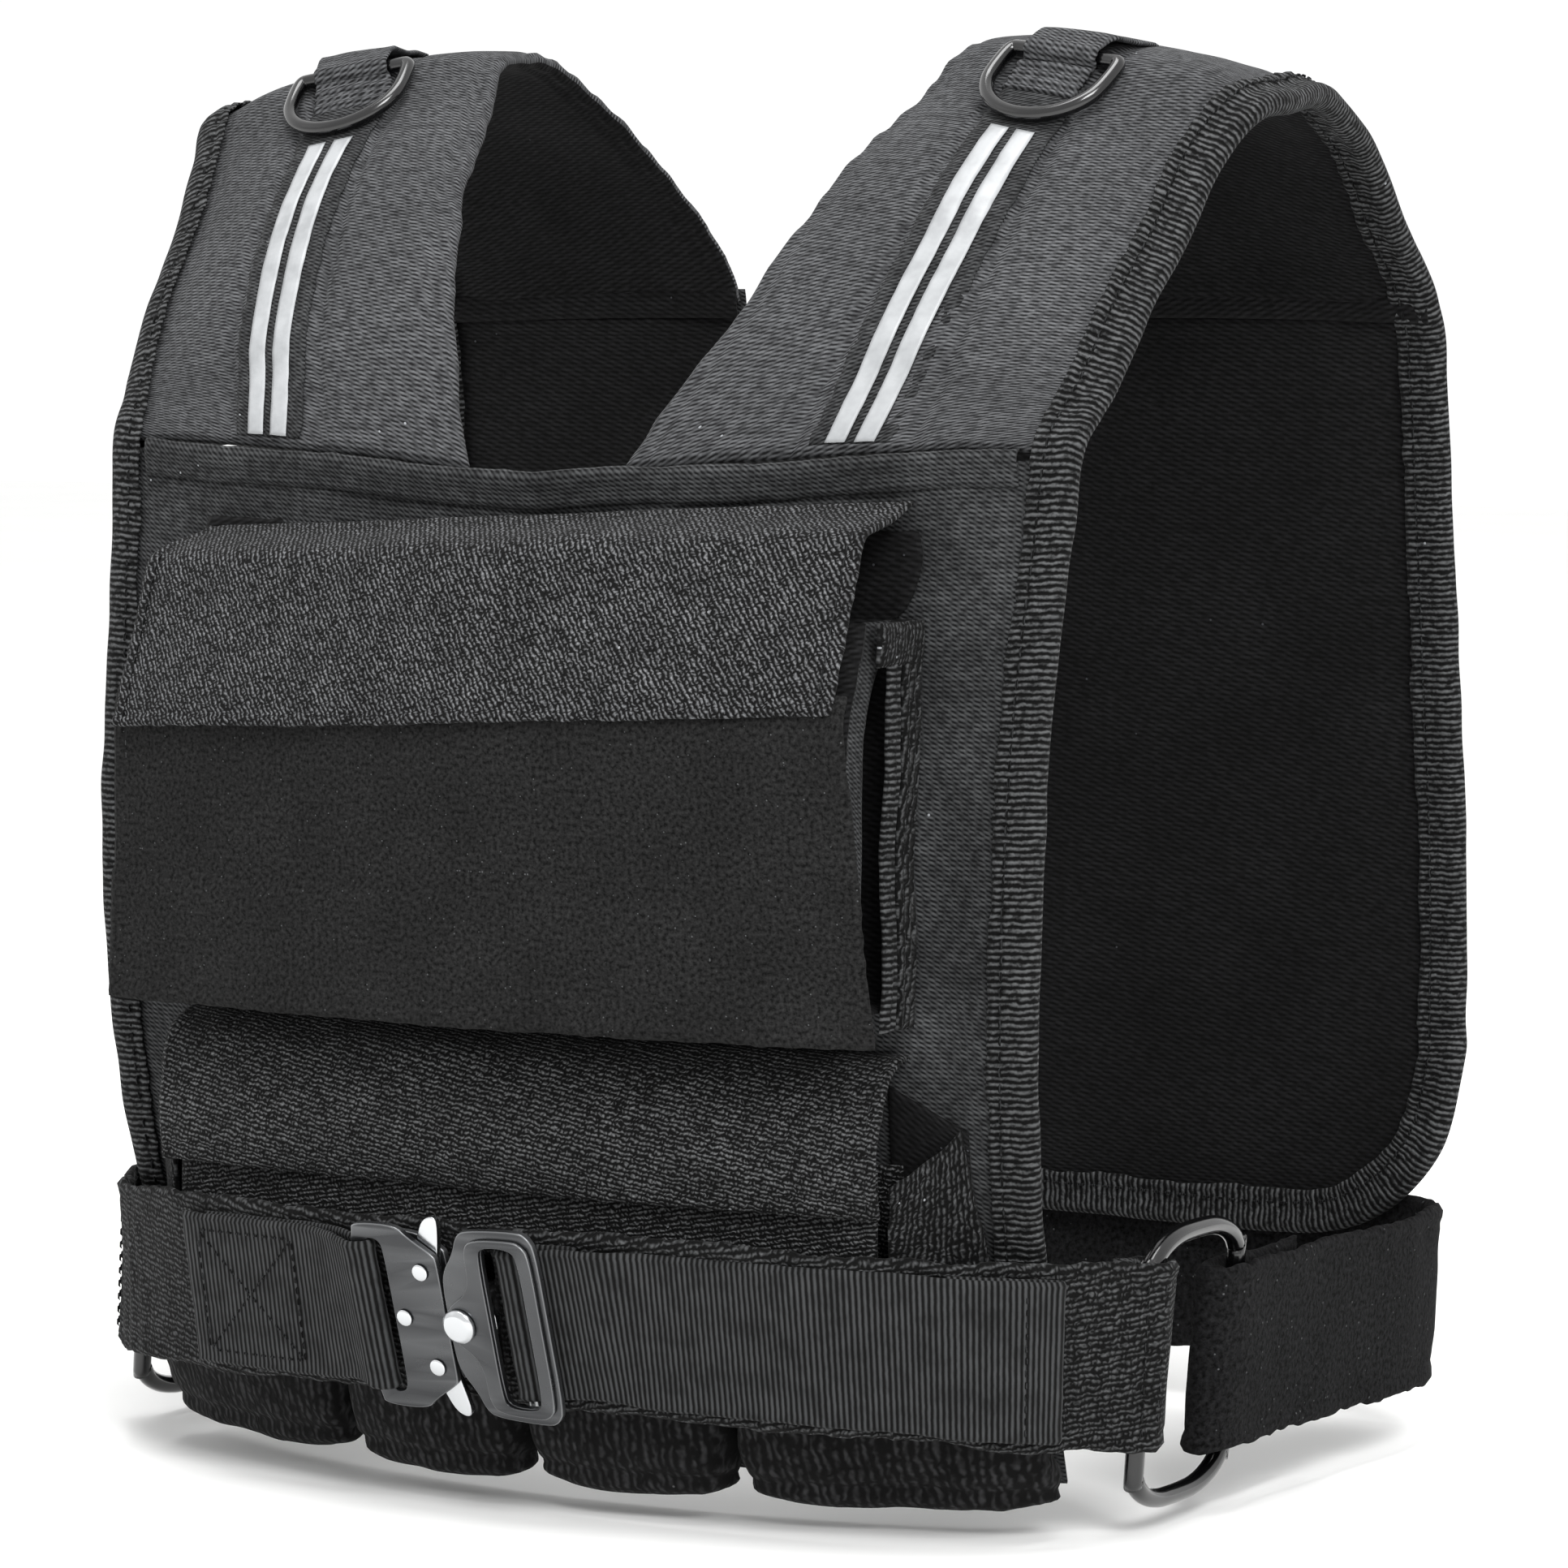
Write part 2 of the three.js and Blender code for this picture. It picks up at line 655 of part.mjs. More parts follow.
function ringLoop() {
  const turnRadius = ringWire / 2 + 0.4 + loopTape / 2;
  const low = ringAxisLift - turnRadius;
  const path = [[-loopLength, low], [-loopLength / 2, low]];
  for (let i = 0; i <= 6; i++) {
    const a = (-90 + 30 * i) * Math.PI / 180;
    path.push([turnRadius * Math.cos(a), ringAxisLift + turnRadius * Math.sin(a)]);
  }
  path.push([-5, ringAxisLift + turnRadius * 0.75], [-loopLength * 0.55, low + loopTape + 1.1]);
  path.push([-loopLength, low + loopTape + 0.5]);
  const outline = ribbonOutline(path, loopTape);
  return loft([-loopWidth / 2, loopWidth / 2].map((x) => outline.map(([d, lift]) => inRingFrame(x, d, lift))));
}

addPair('ring_loop', ringLoop(), tape);

// Pouches. The sleeves are open at both sides, and the front swells between the corners.
const pouchColumns = 8;

function swell(x, bulge, halfWidth) {
  return bulge * Math.max(0, 1 - (x / halfWidth) ** 2);
}

function columnsAcross(halfWidth) {
  return Array.from({ length: pouchColumns + 1 }, (unused, i) => lerp(-halfWidth, halfWidth, i / pouchColumns));
}

// Share at z between the rows of a table with the columns z and out
function shareAt(table, z) {
  const i = Math.max(1, table.findIndex((row) => row.z >= z - 1e-9));
  const [a, b] = [table[i - 1], table[i]];
  return lerp(a.out, b.out, (z - a.z) / (b.z - a.z));
}

// Front wall of the upper pouch: how far it stands out, as shares of the depth, down the height
const upperWall = [
  { z: -0.1, out: 0.309 },
  { z: 0.39, out: 1.0 },
  { z: 1.1, out: 0.77 },
];

// The slope above the edge of the flap goes on below it, as the flap hangs straight
const flapLine = [
  { z: -0.1, out: 0.309 },
  { z: 1.1, out: 2.0 },
];
const upperBase = offFront(pouchHalf, -pouchTop - pouchHeight / 2, half + seamGap);

function upperFrontY(table, x, z) {
  const out = shareAt(table, (-z - pouchTop) / pouchHeight);
  return upperBase - pouchDepth * out - swell(x, pouchBulge, pouchHalf);
}

// A sleeve: down the panel, forward along the bottom and up the front, as one bent sheet
function sleeve(top, bottom, halfWidth, wallY) {
  const backLift = half + seamGap * 1.5 + pouchWall / 2;
  const at = (share) => lerp(-top, -bottom, share);
  const profile = [
    ...[0, 0.15, 0.3, 0.45, 0.6, 0.75, 0.9].map((share) => ({ out: 0, z: at(share) })),
    { out: 0.15, z: at(1) },
    { out: 0.85, z: at(1) },
    ...[0.9, 0.7, 0.3, 0].map((share) => ({ out: 1, z: at(share) })),
  ];
  return profile.map(({ out, z }) => columnsAcross(halfWidth).map((x) => (
    vec(x, lerp(offFront(x, z, backLift), wallY(x, z), out), z)
  )));
}

const upperSleeve = sleeve(pouchTop + pouchMouth, pouchTop + pouchHeight, pouchHalf,
  (x, z) => upperFrontY(upperWall, x, z));
add('upper_pouch', sheet(upperSleeve, -pouchWall / 2, pouchWall / 2), lining);

// Face panel of the upper pouch, widening downwards, with a free hem below the pouch
const faceLift = pouchWall / 2 + seamGap + facePanelThickness / 2;
const facePanelRows = [
  { out: 0.3, z: 0 },
  { out: 0.2, z: 0.11 },
  { out: 0.4, z: 0.4 },
  { out: 0.6, z: 0.7 },
  { out: 1.0, z: 1 },
];
const facePanelGrid = facePanelRows.map(({ out, z }) => (
  columnsAcross(lerp(faceHalfTop, faceHalfBottom, z)).map((x) => {
    const height = -facePanelTop - facePanelHeight * z;
    return vec(x, upperFrontY(upperWall, x, height) - faceLift * 1.08 - out, height);
  })
));
add('pouch_front_panel', sheet(facePanelGrid, -facePanelThickness / 2, facePanelThickness / 2), fleece);

// Flap of the upper pouch: sewn to the panel, out over the top and down over the face panel
const flapHalf = pouchHalf - 1.5;
const flapLift = faceLift + facePanelThickness / 2 + seamGap + flapThickness / 2;
const flapRows = [
  { out: 0, z: -0.14 },
  { out: 0.45, z: -0.03 },
  { out: 0.93, z: 0 },
  { out: 1, z: 0.08 },
  { out: 1, z: 0.5 },
  { out: 1, z: 1 },
];
const flapGrid = flapRows.map(({ out, z }) => columnsAcross(flapHalf).map((x) => {
  const height = -pouchTop - flapDrop * z + flapTilt * (x / flapHalf);
  const back = offFront(x, height, half + seamGap + flapThickness / 2);
  const front = upperFrontY(flapLine, x, height) - flapLift * 1.12;
  return vec(x, lerp(back, front, out), height);
}));
add('pouch_flap', sheet(flapGrid, -flapThickness / 2, flapThickness / 2), loopCloth);

// Side tab: a bar from the panel to the face of the pouch and a strip down the panel
function sideTab() {
  const x = pouchHalf + seamGap * 3;
  const top = -pouchTop - tabDrop;
  const bottom = -pouchTop - pouchHeight - tabOverhang;
  const back = (z) => offFront(x + tabThickness, z, half + seamGap * 2.2);
  const face = upperFrontY(upperWall, pouchHalf, top) + pouchWall;
  const outline = [
    [back(top), top],
    [face, top],
    [face, top - tabBar],
    [back(top) - tabStrip, top - tabBar],
    [back(bottom) - tabStrip, bottom],
    ...[1, 0.75, 0.5, 0.25].map((share) => [back(lerp(top, bottom, share)), lerp(top, bottom, share)]),
  ];
  return loft([x, x + tabThickness].map((px) => outline.map(([y, z]) => vec(px, y, z))));
}

addPair('side_tab', sideTab(), tape);

// Lower pouch: a shallow sleeve under a rolled flap
const lowerHalf = pouchHalf - 2;
const lowerWallY = offFront(lowerHalf, -lowerTop - lowerFlapDrop, half + seamGap) - lowerDepth;
const lowerSleeve = sleeve(lowerTop + lowerMouth, lowerTop + lowerHeight, lowerHalf,
  (x) => lowerWallY - swell(x, lowerBulge, lowerHalf));
add('lower_pouch', sheet(lowerSleeve, -pouchWall / 2, pouchWall / 2), loopCloth);

const rollRows = [
  { out: 0, z: -0.12 },
  { out: 0.35, z: -0.07 },
  { out: 0.75, z: 0.05 },
  { out: 0.97, z: 0.24 },
  { out: 1.12, z: 0.48 },
  { out: 1.14, z: 0.71 },
  { out: 1.03, z: 1 },
];
const rollHalf = pouchHalf + 1.5;
const rollLift = pouchWall / 2 + seamGap + flapThickness / 2;
const rollGrid = rollRows.map(({ out, z }) => columnsAcross(rollHalf).map((x) => {
  const height = -lowerTop - lowerFlapDrop * z;
  const back = offFront(x, height, half + seamGap + flapThickness / 2);
  const front = lowerWallY - rollLift - swell(x, lowerBulge, rollHalf + flapThickness);
  return vec(x, lerp(back, front, out), height);
}));
add('lower_pouch_flap', sheet(rollGrid, -flapThickness / 2, flapThickness / 2), loopCloth);

// Lower gusset: the cloth that closes the lower half of the pouch's side
function lowerGusset() {
  const shares = [0, 0.35, 0.7, 1];
  const bottom = -lowerTop - lowerHeight + seamGap * 4;
  return shares.map((t) => shares.map((s) => {
    const top = -lowerTop - lerp(lowerMouth, lowerFlapDrop, s ** 1.5);
    const z = lerp(top, bottom, t);
    const x = pouchHalf + seamGap * 3 + gussetBulge * (1 - s) * lerp(0.35, 1, t);
    const back = offFront(x + pouchWall, z, half + seamGap + pouchWall);
    return vec(x, lerp(back, lowerWallY + pouchWall / 2, s), z);
  }));
}

addPair('lower_gusset', sheet(lowerGusset(), -pouchWall / 2, pouchWall / 2), loopCloth);

// Weight pouches: filled pads side by side along the bottom of the front panel
const padSections = [
  { along: 0, full: 0.5 },
  { along: 0.08, full: 0.86 },
  { along: 0.3, full: 1 },
  { along: 0.5, full: 1 },
  { along: 0.7, full: 1 },
  { along: 0.92, full: 0.86 },
  { along: 1, full: 0.5 },
];
const padOutline = [
  { out: 0.0, up: 1 },
  { out: 0.8, up: 1 },
  { out: 1, up: 0.9 },
  { out: 1, up: 0.2 },
  { out: 0.82, up: 0.05 },
  { out: 0.5, up: 0 },
  { out: 0.15, up: 0.03 },
  { out: 0, up: 0.12 },
  { out: 0, up: 0.4 },
  { out: 0, up: 0.7 },
];

function weightPouch(from, to, endDepth) {
  return loft(padSections.map(({ along, full }) => {
    const x = lerp(from, to, along);
    const depth = lerp(weightDepth, endDepth, along) * lerp(0.75, 1, full);
    return padOutline.map(({ out, up }) => {
      const z = -frontDrop - weightHang + (1 - full) * weightHang * (1 - up) + weightHeight * up;
      return vec(x, offFront(x, z, half + seamGap * 2) - depth * out, z);
    });
  }));
}

const innerPouch = weightPouch(weightSpace / 2, weightSplit - weightSpace / 2, weightDepth);
const outerPouch = weightPouch(weightSplit + weightSpace / 2, weightHalf, weightEndDepth);
addPair('weight_pouch_inner', innerPouch, loopCloth);
addPair('weight_pouch_outer', outerPouch, loopCloth);

// Belt. In plan it runs from the front middle to the ring at the side, round the ring's bar and back.
// x is a share of the side, y of the front; the last stations fold the end back inside.
const wingPlan = [
  { x: 0.31, y: 0.99 },
  { x: 0.58, y: 0.943 },
  { x: 0.763, y: 0.837 },
  { x: 0.858, y: 0.738 },
  { x: 0.926, y: 0.624 },
  { x: 0.976, y: 0.532 },
  { x: 1.012, y: 0.46 },
  { x: 1.017, y: 0.415 },
  { x: 1.004, y: 0.365 },
  { x: 0.98, y: 0.352 },
  { x: 0.956, y: 0.37 },
  { x: 0.947, y: 0.44 },
  { x: 0.942, y: 0.5 },
];

// The belt leans: its top edge stands forward and to the wearer's left of its bottom edge
function leaning(point, drop) {
  const t = (point.z + drop) / (beltHeight / 2);
  const forward = THREE.MathUtils.clamp((-point.y - leanFrom) / leanReach, 0, 1);
  return vec(point.x + beltLeanX * t, point.y - beltLeanY * forward * t, point.z);
}

function beltMiddle(y) {
  return lerp(beltDrop, beltSideDrop, THREE.MathUtils.clamp((y + beltFront) / beltFallReach, 0, 1));
}

function beltGrid(plan, middle) {
  return plan.map(([x, y]) => {
    const drop = middle(y);
    return [-0.5, 0, 0.5].map((t) => leaning(vec(x, y, -drop + t * beltHeight), drop));
  });
}

function wingPath(side) {
  const start = side > 0 ? 2 * beltSplit : -beltSplit;
  return [[start, -beltFront], ...wingPlan.map(({ x, y }) => [side * beltSide * x, -beltFront * y])];
}

add('belt_left', sheet(beltGrid(wingPath(1), beltMiddle), -beltThickness / 2, beltThickness / 2), loopCloth);
add('belt_right', sheet(beltGrid(wingPath(-1), beltMiddle), -beltThickness / 2, beltThickness / 2), loopCloth);

// Back strap, from ring to ring round the back; each end is folded round its ring
const backPlan = [
  { x: 0.949, y: 0.3 },
  { x: 0.948, y: 0.13 },
  { x: 0.947, y: -0.04 },
  { x: 0.947, y: -0.13 },
  { x: 0.953, y: -0.185 },
  { x: 0.972, y: -0.205 },
  { x: 0.998, y: -0.18 },
  { x: 1.012, y: -0.12 },
  { x: 1.013, y: -0.04 },
  { x: 1.012, y: 0.08 },
  { x: 1.02, y: 0.39 },
  { x: 1.034, y: 0.625 },
  { x: 1.03, y: 0.737 },
  { x: 1.02, y: 0.822 },
  { x: 0.995, y: 0.892 },
  { x: 0.955, y: 0.938 },
  { x: 0.895, y: 0.962 },
  { x: 0.77, y: 0.968 },
  { x: 0.42, y: 0.964 },
  { x: 0, y: 0.96 },
];

function backPath() {
  const right = backPlan.map(({ x, y }) => [beltSide * x, beltBack * y]);
  const left = right.slice(0, -1).reverse().map(([x, y]) => [-x, y]);
  return [...right, ...left];
}

const backBelt = beltGrid(backPath(), () => beltBackDrop);
add('belt_back', sheet(backBelt, -beltThickness / 2, beltThickness / 2), fleece);

// Oblong rings that join the wings to the back strap
function oblongRing(side) {
  const tall = (oblongHeight - oblongWire) / 2 - oblongCornerTall;
  const wide = (oblongWidth - oblongWire) / 2 - oblongCornerWide;
  const flat = [];
  for (const [cy, cz, start] of [[1, 1, 0], [-1, 1, 90], [-1, -1, 180], [1, -1, 270]]) {
    for (let i = 0; i <= 4; i++) {
      const a = THREE.MathUtils.degToRad(start + i * 22.5);
      flat.push([cy * wide + oblongCornerWide * Math.cos(a), cz * tall + oblongCornerTall * Math.sin(a)]);
    }
  }
  const points = flat.map(([y, z]) => (
    leaning(vec(side * oblongSide, -oblongCentre + y, -oblongDrop + z), (beltSideDrop + beltBackDrop) / 2)
  ));
  const normal = points[5].clone().sub(points[0]).cross(points[10].clone().sub(points[0])).normalize();
  return wireRing(points, normal, oblongWire / 2, 10);
}

add('belt_ring_left', oblongRing(1), blackMetal);
add('belt_ring_right', oblongRing(-1), blackMetal);

// Buckle. Its plane leans with the belt; s runs along the belt, t up, and lift stands out from the plane.
const buckleLean = Math.atan2(2 * beltLeanY, beltHeight);
const bucklePlane = {
  origin: vec(buckleCentreX, -beltFront - beltThickness / 2 - buckleStand, -beltDrop),
  up: vec(0, -Math.sin(buckleLean), Math.cos(buckleLean)),
  out: vec(0, -Math.cos(buckleLean), -Math.sin(buckleLean)),
};

function inBuckle(s, t, lift) {
  return bucklePlane.origin.clone()
    .add(vec(s, 0, 0))
    .addScaledVector(bucklePlane.up, t)
    .addScaledVector(bucklePlane.out, lift);
}

// A flat plate of the given outline and holes, standing from lift to lift plus thickness
function plate(outline, holes, lift, thickness) {
  const shape = new THREE.Shape(outline.map(([s, t]) => new THREE.Vector2(s, t)));
  for (const hole of holes) {
    shape.holes.push(new THREE.Path(hole.map(([s, t]) => new THREE.Vector2(s, t))));
  }
  const geometry = new THREE.ExtrudeGeometry(shape, { depth: thickness, bevelEnabled: false, curveSegments: 1 });
  const position = geometry.attributes.position;
  for (let i = 0; i < position.count; i++) {
    const p = inBuckle(position.getX(i), position.getY(i), lift + position.getZ(i));
    position.setXYZ(i, p.x, p.y, p.z);
  }
  geometry.setIndex(Array.from({ length: position.count }, (unused, i) => i));
  return outward(geometry);
}

function disc(s, t, radius, sides) {
  return Array.from({ length: sides }, (unused, i) => {
    const a = (i / sides) * 2 * Math.PI;
    return [s + radius * Math.cos(a), t + radius * Math.sin(a)];
  });
}

// Upright pin with a wider head at one or both ends, as a stack of round sections
function pin(s, t, levels) {
  const sides = 16;
  return loft(levels.map(({ lift, radius }) => disc(s, t, radius, sides).map(([ps, pt]) => inBuckle(ps, pt, lift))));
}

// Receiver: a front plate with a slot and a bar for the webbing, over a short back plate.
// Outlines are shares of the width, from the mating edge, and of half the height.
const receiverHalf = [
  [0, 0], [0, 0.3], [0, 0.64], [0.02, 0.7], [0.3, 0.88], [0.42, 1], [0.86, 1], [1, 0.93],
];
const receiverSlot = [[0.62, 0], [0.62, 0.72], [0.66, slotShare], [0.84, slotShare], [0.84, 0]];
const backHalfOutline = [[0, 0], [0, 0.64], [0.02, 0.7], [0.3, 0.86], [0.64, 0.86], [0.64, 0]];

function mirroredOutline(halfOutline, right, width, halfHeight) {
  const upper = halfOutline.map(([x, y]) => [right - width * x, halfHeight * y]);
  const lower = [...halfOutline].reverse().filter(([, y]) => y > 0)
    .map(([x, y]) => [right - width * x, -halfHeight * y]);
  return [...upper, ...lower];
}

const receiver = mirroredOutline(receiverHalf, receiverRight, receiverWidth, plateHeight / 2);
const receiverBack = mirroredOutline(backHalfOutline, receiverRight, receiverWidth, plateHeight / 2);
const receiverHole = mirroredOutline(receiverSlot, receiverRight, receiverWidth, plateHeight / 2);
const topRivet = [receiverRight - rivetInset, rivetRise];
const lowRivet = [receiverRight - rivetInset, -rivetRise];
const midRivet = [receiverRight - rivetInset * 2.4, 0];
const rivetPin = rivetRadius * 0.6;
const pinClear = 0.35;
const rivetHoles = [topRivet, lowRivet, midRivet].map(([s, t]) => disc(s, t, rivetPin + pinClear, 12));
const leverLift = plateThickness + pinClear;
const frontLift = leverLift + leverThickness + pinClear;
add('buckle_back_plate', plate(receiverBack, rivetHoles, 0, plateThickness), blackMetal);
add('buckle_front_plate', plate(receiver, [receiverHole, ...rivetHoles], frontLift, plateThickness), blackMetal);

// Release levers between the plates, each on its own rivet, with a tip that stands out past the edge
const leverOutline = [
  [-4.2, -4], [-4.6, 3], [-1.5, 9.5], [1.5, 16], [5.5, 18], [7.5, 16.5], [6.6, 10], [5.2, 4], [4.4, -3], [1, -5],
];

function lever(sign) {
  const [s, t] = sign > 0 ? topRivet : lowRivet;
  const outline = leverOutline.map(([x, y]) => [s + x, sign * (Math.abs(t) + y)]);
  return plate(outline, [disc(s, t, rivetPin + pinClear, 12)], leverLift, leverThickness);
}

add('lever_top', lever(1), steel);
add('lever_bottom', lever(-1), steel);
const stackTop = frontLift + plateThickness;
for (const [name, [s, t]] of [['top', topRivet], ['bottom', lowRivet], ['middle', midRivet]]) {
  add(`rivet_${name}`, pin(s, t, [
    { lift: -pinClear - rivetHead, radius: rivetRadius * 0.85 },
    { lift: -pinClear, radius: rivetRadius },
    { lift: -pinClear, radius: rivetPin },
    { lift: stackTop + pinClear, radius: rivetPin },
    { lift: stackTop + pinClear, radius: rivetRadius },
    { lift: stackTop + pinClear + rivetHead, radius: rivetRadius * 0.8 },
  ]), steel);
}

// Insert: a frame with a slot for the webbing, a raised rim, and a tongue held between the plates by the stud
const insertOutline = [
  [0, 0], [0, 0.82], [0.06, 0.95], [0.16, 1], [0.68, 0.97], [0.78, 0.9], [0.84, 0.72], [0.98, 0.5], [1, 0.28],
  [1, 0],
];
const insertSlot = [[0.17, 0], [0.17, 0.7], [0.22, slotShare], [0.52, slotShare], [0.56, 0.7], [0.56, 0]];
const rimOutline = [
  [0.045, 0], [0.045, 0.78], [0.11, 0.88], [0.2, 0.92], [0.6, 0.9], [0.7, 0.8], [0.7, 0.5], [0.75, 0.33],
  [0.92, 0.2], [0.98, 0.1], [0.98, 0],
];
const insertHole = mirroredOutline(insertSlot, insertRight, insertWidth, frameHeight / 2);
const studHole = disc(0, 0, studPin + pinClear, 12);

function insertPart(halfOutline, lift, thickness) {
  const outline = mirroredOutline(halfOutline, insertRight, insertWidth, frameHeight / 2);
  return plate(outline, [insertHole, studHole], lift, thickness);
}

const insertLift = frontLift;
const rimLift = insertLift + plateThickness + pinClear;
const rimTop = rimLift + rimThickness;
add('buckle_frame', insertPart(insertOutline, insertLift, plateThickness), blackMetal);
add('buckle_rim', insertPart(rimOutline, rimLift, rimThickness), blackMetal);
const tongue = [
  [tongueLength * 0.4, -tongueHalf], [tongueLength * 0.4, tongueHalf], [-tongueLength * 0.5, tongueHalf],
  [-tongueLength * 0.6, tongueHalf * 0.6], [-tongueLength * 0.6, -tongueHalf * 0.6],
  [-tongueLength * 0.5, -tongueHalf],
];
add('buckle_tongue', plate(tongue, [studHole], leverLift, leverThickness), steel);
add('buckle_stud', pin(0, 0, [
  { lift: leverLift - pinClear - rivetHead, radius: studPin + 1.4 },
  { lift: leverLift - pinClear, radius: studPin + 1.4 },
  { lift: leverLift - pinClear, radius: studPin },
  { lift: rimTop + pinClear, radius: studPin },
  { lift: rimTop + pinClear, radius: studRadius },
  { lift: rimTop + pinClear + studHeight * 0.5, radius: studRadius },
  { lift: rimTop + pinClear + studHeight, radius: studRadius * 0.72 },
]), steel);

// Webbing. Each run lies on the belt, lifts to the buckle, turns round a bar and comes back underneath.
// A path gives s along the belt and the lift of the middle of the webbing above the buckle's own plane.
const barRadius = 1.8;
const barTurn = barRadius + pinClear + webbingThickness / 2;
const slotMiddle = insertRight - insertWidth * 0.365;
const slideLift = insertLift - pinClear - barRadius;
const barHalf = frameHeight * 0.455;
const beltLift = buckleStand + beltThickness / 2;
const onBeltLift = -buckleStand + seamGap * 1.5 + webbingThickness / 2;
const secondLift = onBeltLift + webbingThickness + 0.3;
const flatReach = 48;

// Distance of the belt's middle surface from the middle plane of the vest at x, in plan
function wingY(x) {
  const share = Math.abs(x) / beltSide;
  const i = wingPlan.findIndex((row) => row.x >= share);
  const [a, b] = i === 0 ? [{ x: 0, y: 1 }, wingPlan[0]] : [wingPlan[i - 1], wingPlan[i]];
  return -beltFront * lerp(a.y, b.y, (share - a.x) / (b.x - a.x));
}

function onBelt(x, t, lift) {
  const at = (px, pt) => {
    const y = wingY(px);
    const drop = beltMiddle(y);
    return leaning(vec(px, y, -drop + pt), drop);
  };
  const point = at(x, t);
  const normal = at(x + 2, t).sub(at(x - 2, t)).cross(at(x, t + 1).sub(point)).normalize();
  return point.addScaledVector(normal, lift);
}

function webbing(path) {
  const grid = path.map(([s, lift]) => [-0.5, 0.5].map((t) => (
    Math.abs(s) <= flatReach ? inBuckle(s, t * webbingWidth, lift) : onBelt(s, t * webbingWidth, lift + beltLift)
  )));
  return sheet(grid, -webbingThickness / 2, webbingThickness / 2);
}

const barLeft = receiverRight - receiverWidth;
const slotLeft = receiverRight - receiverWidth * 0.84;
const underBar = frontLift - pinClear - webbingThickness / 2;
const overBar = stackTop + pinClear + webbingThickness / 2;
const leftPath = [
  [-104, onBeltLift],
  [-59, onBeltLift],
  [barLeft - 8, underBar * 0.15],
  [barLeft, underBar - 0.1],
  [slotLeft - 0.5, underBar],
  [slotLeft + 1.9, underBar + 1.2],
  [slotLeft + 1.9, overBar - 1.2],
  [slotLeft - 0.5, overBar],
  [barLeft, overBar + 0.3],
  [barLeft - 8, underBar + 0.6],
  [-59, secondLift],
  [-104, secondLift],
  [-112, secondLift],
];
add('webbing_right', webbing(leftPath), tape);

const rightPath = [
  [148, onBeltLift],
  [163, onBeltLift],
  [170, onBeltLift],
  [172.3, (onBeltLift + secondLift) / 2],
  [170, secondLift],
  [163, secondLift],
  [150, secondLift],
  [138, onBeltLift],
  [110, onBeltLift],
  [59, onBeltLift],
  [47, secondLift],
  [38, secondLift + 0.3],
  [insertRight - 1.5, secondLift + 1.4],
  [slotMiddle + barTurn * 2.1, slideLift + 0.5],
  [slotMiddle + barTurn, slideLift + barTurn * 0.9],
  [slotMiddle, slideLift + barTurn],
  [slotMiddle - barTurn * 0.75, slideLift + barTurn * 0.75],
  [slotMiddle - barTurn, slideLift],
  [slotMiddle - barTurn * 0.75, slideLift - barTurn * 0.75],
  [slotMiddle, slideLift - barTurn],
  [slotMiddle + 6, slideLift - barTurn - 0.5],
  [40, onBeltLift],
];
add('webbing_left', webbing(rightPath), tape);

// Slide bar behind the insert's slot, with its ends behind the frame
add('buckle_slide_bar', loft([-barHalf, barHalf].map((t) => (
  disc(slotMiddle, slideLift, barRadius, 12).map(([s, lift]) => inBuckle(s, t, lift))
))), steel);

export default group;
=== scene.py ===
import bpy
import numpy as np
from itertools import product
from math import cos, sin, atan2, hypot, pi, radians
from mathutils import Matrix, Vector


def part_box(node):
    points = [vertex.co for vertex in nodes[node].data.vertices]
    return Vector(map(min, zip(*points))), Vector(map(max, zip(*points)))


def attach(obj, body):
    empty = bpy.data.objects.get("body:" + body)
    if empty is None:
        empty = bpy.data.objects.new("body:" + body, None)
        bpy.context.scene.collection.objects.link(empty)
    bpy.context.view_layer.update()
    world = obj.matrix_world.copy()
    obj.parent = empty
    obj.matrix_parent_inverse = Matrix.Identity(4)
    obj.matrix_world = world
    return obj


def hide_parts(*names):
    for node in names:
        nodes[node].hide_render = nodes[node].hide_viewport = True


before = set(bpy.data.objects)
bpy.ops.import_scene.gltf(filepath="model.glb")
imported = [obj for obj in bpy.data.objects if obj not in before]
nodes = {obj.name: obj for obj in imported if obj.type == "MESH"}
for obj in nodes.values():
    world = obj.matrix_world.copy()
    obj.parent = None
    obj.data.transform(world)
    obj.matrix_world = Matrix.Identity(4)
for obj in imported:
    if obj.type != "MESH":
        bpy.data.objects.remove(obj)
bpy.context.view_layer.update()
mm = 0.001
print("frame loaded")

# The vest's front faces -Y and its own left is +X; every length below is in millimetres


def linear(hexColour):
    parts = [int(hexColour[i:i + 2], 16) / 255 for i in (1, 3, 5)]
    return [p / 12.92 if p <= 0.04045 else ((p + 0.055) / 1.055) ** 2.4 for p in parts] + [1.0]


def addNode(tree, kind, settings=None, links=None):
    node = tree.nodes.new("ShaderNode" + kind)
    for key, value in (settings or {}).items():
        if key == "stops":
            ramp = node.color_ramp
            while len(ramp.elements) < len(value):
                ramp.elements.new(0.5)
            for element, (place, colour) in zip(ramp.elements, value):
                element.position = place
                element.color = colour
        elif isinstance(key, int) or key in node.inputs:
            node.inputs[key].default_value = value
        else:
            setattr(node, key, value)
    for key, source in (links or {}).items():
        tree.links.new(source, node.inputs[key])
    return node


def surfaceOf(name, settings):
    material = bpy.data.materials.new(name)
    material.use_nodes = True
    tree = material.node_tree
    shader = tree.nodes["Principled BSDF"]
    for key, value in settings.items():
        shader.inputs[key].default_value = value
    return material, tree, shader


wavePeriod = 0.314  # a band texture at scale 1 repeats after this many units


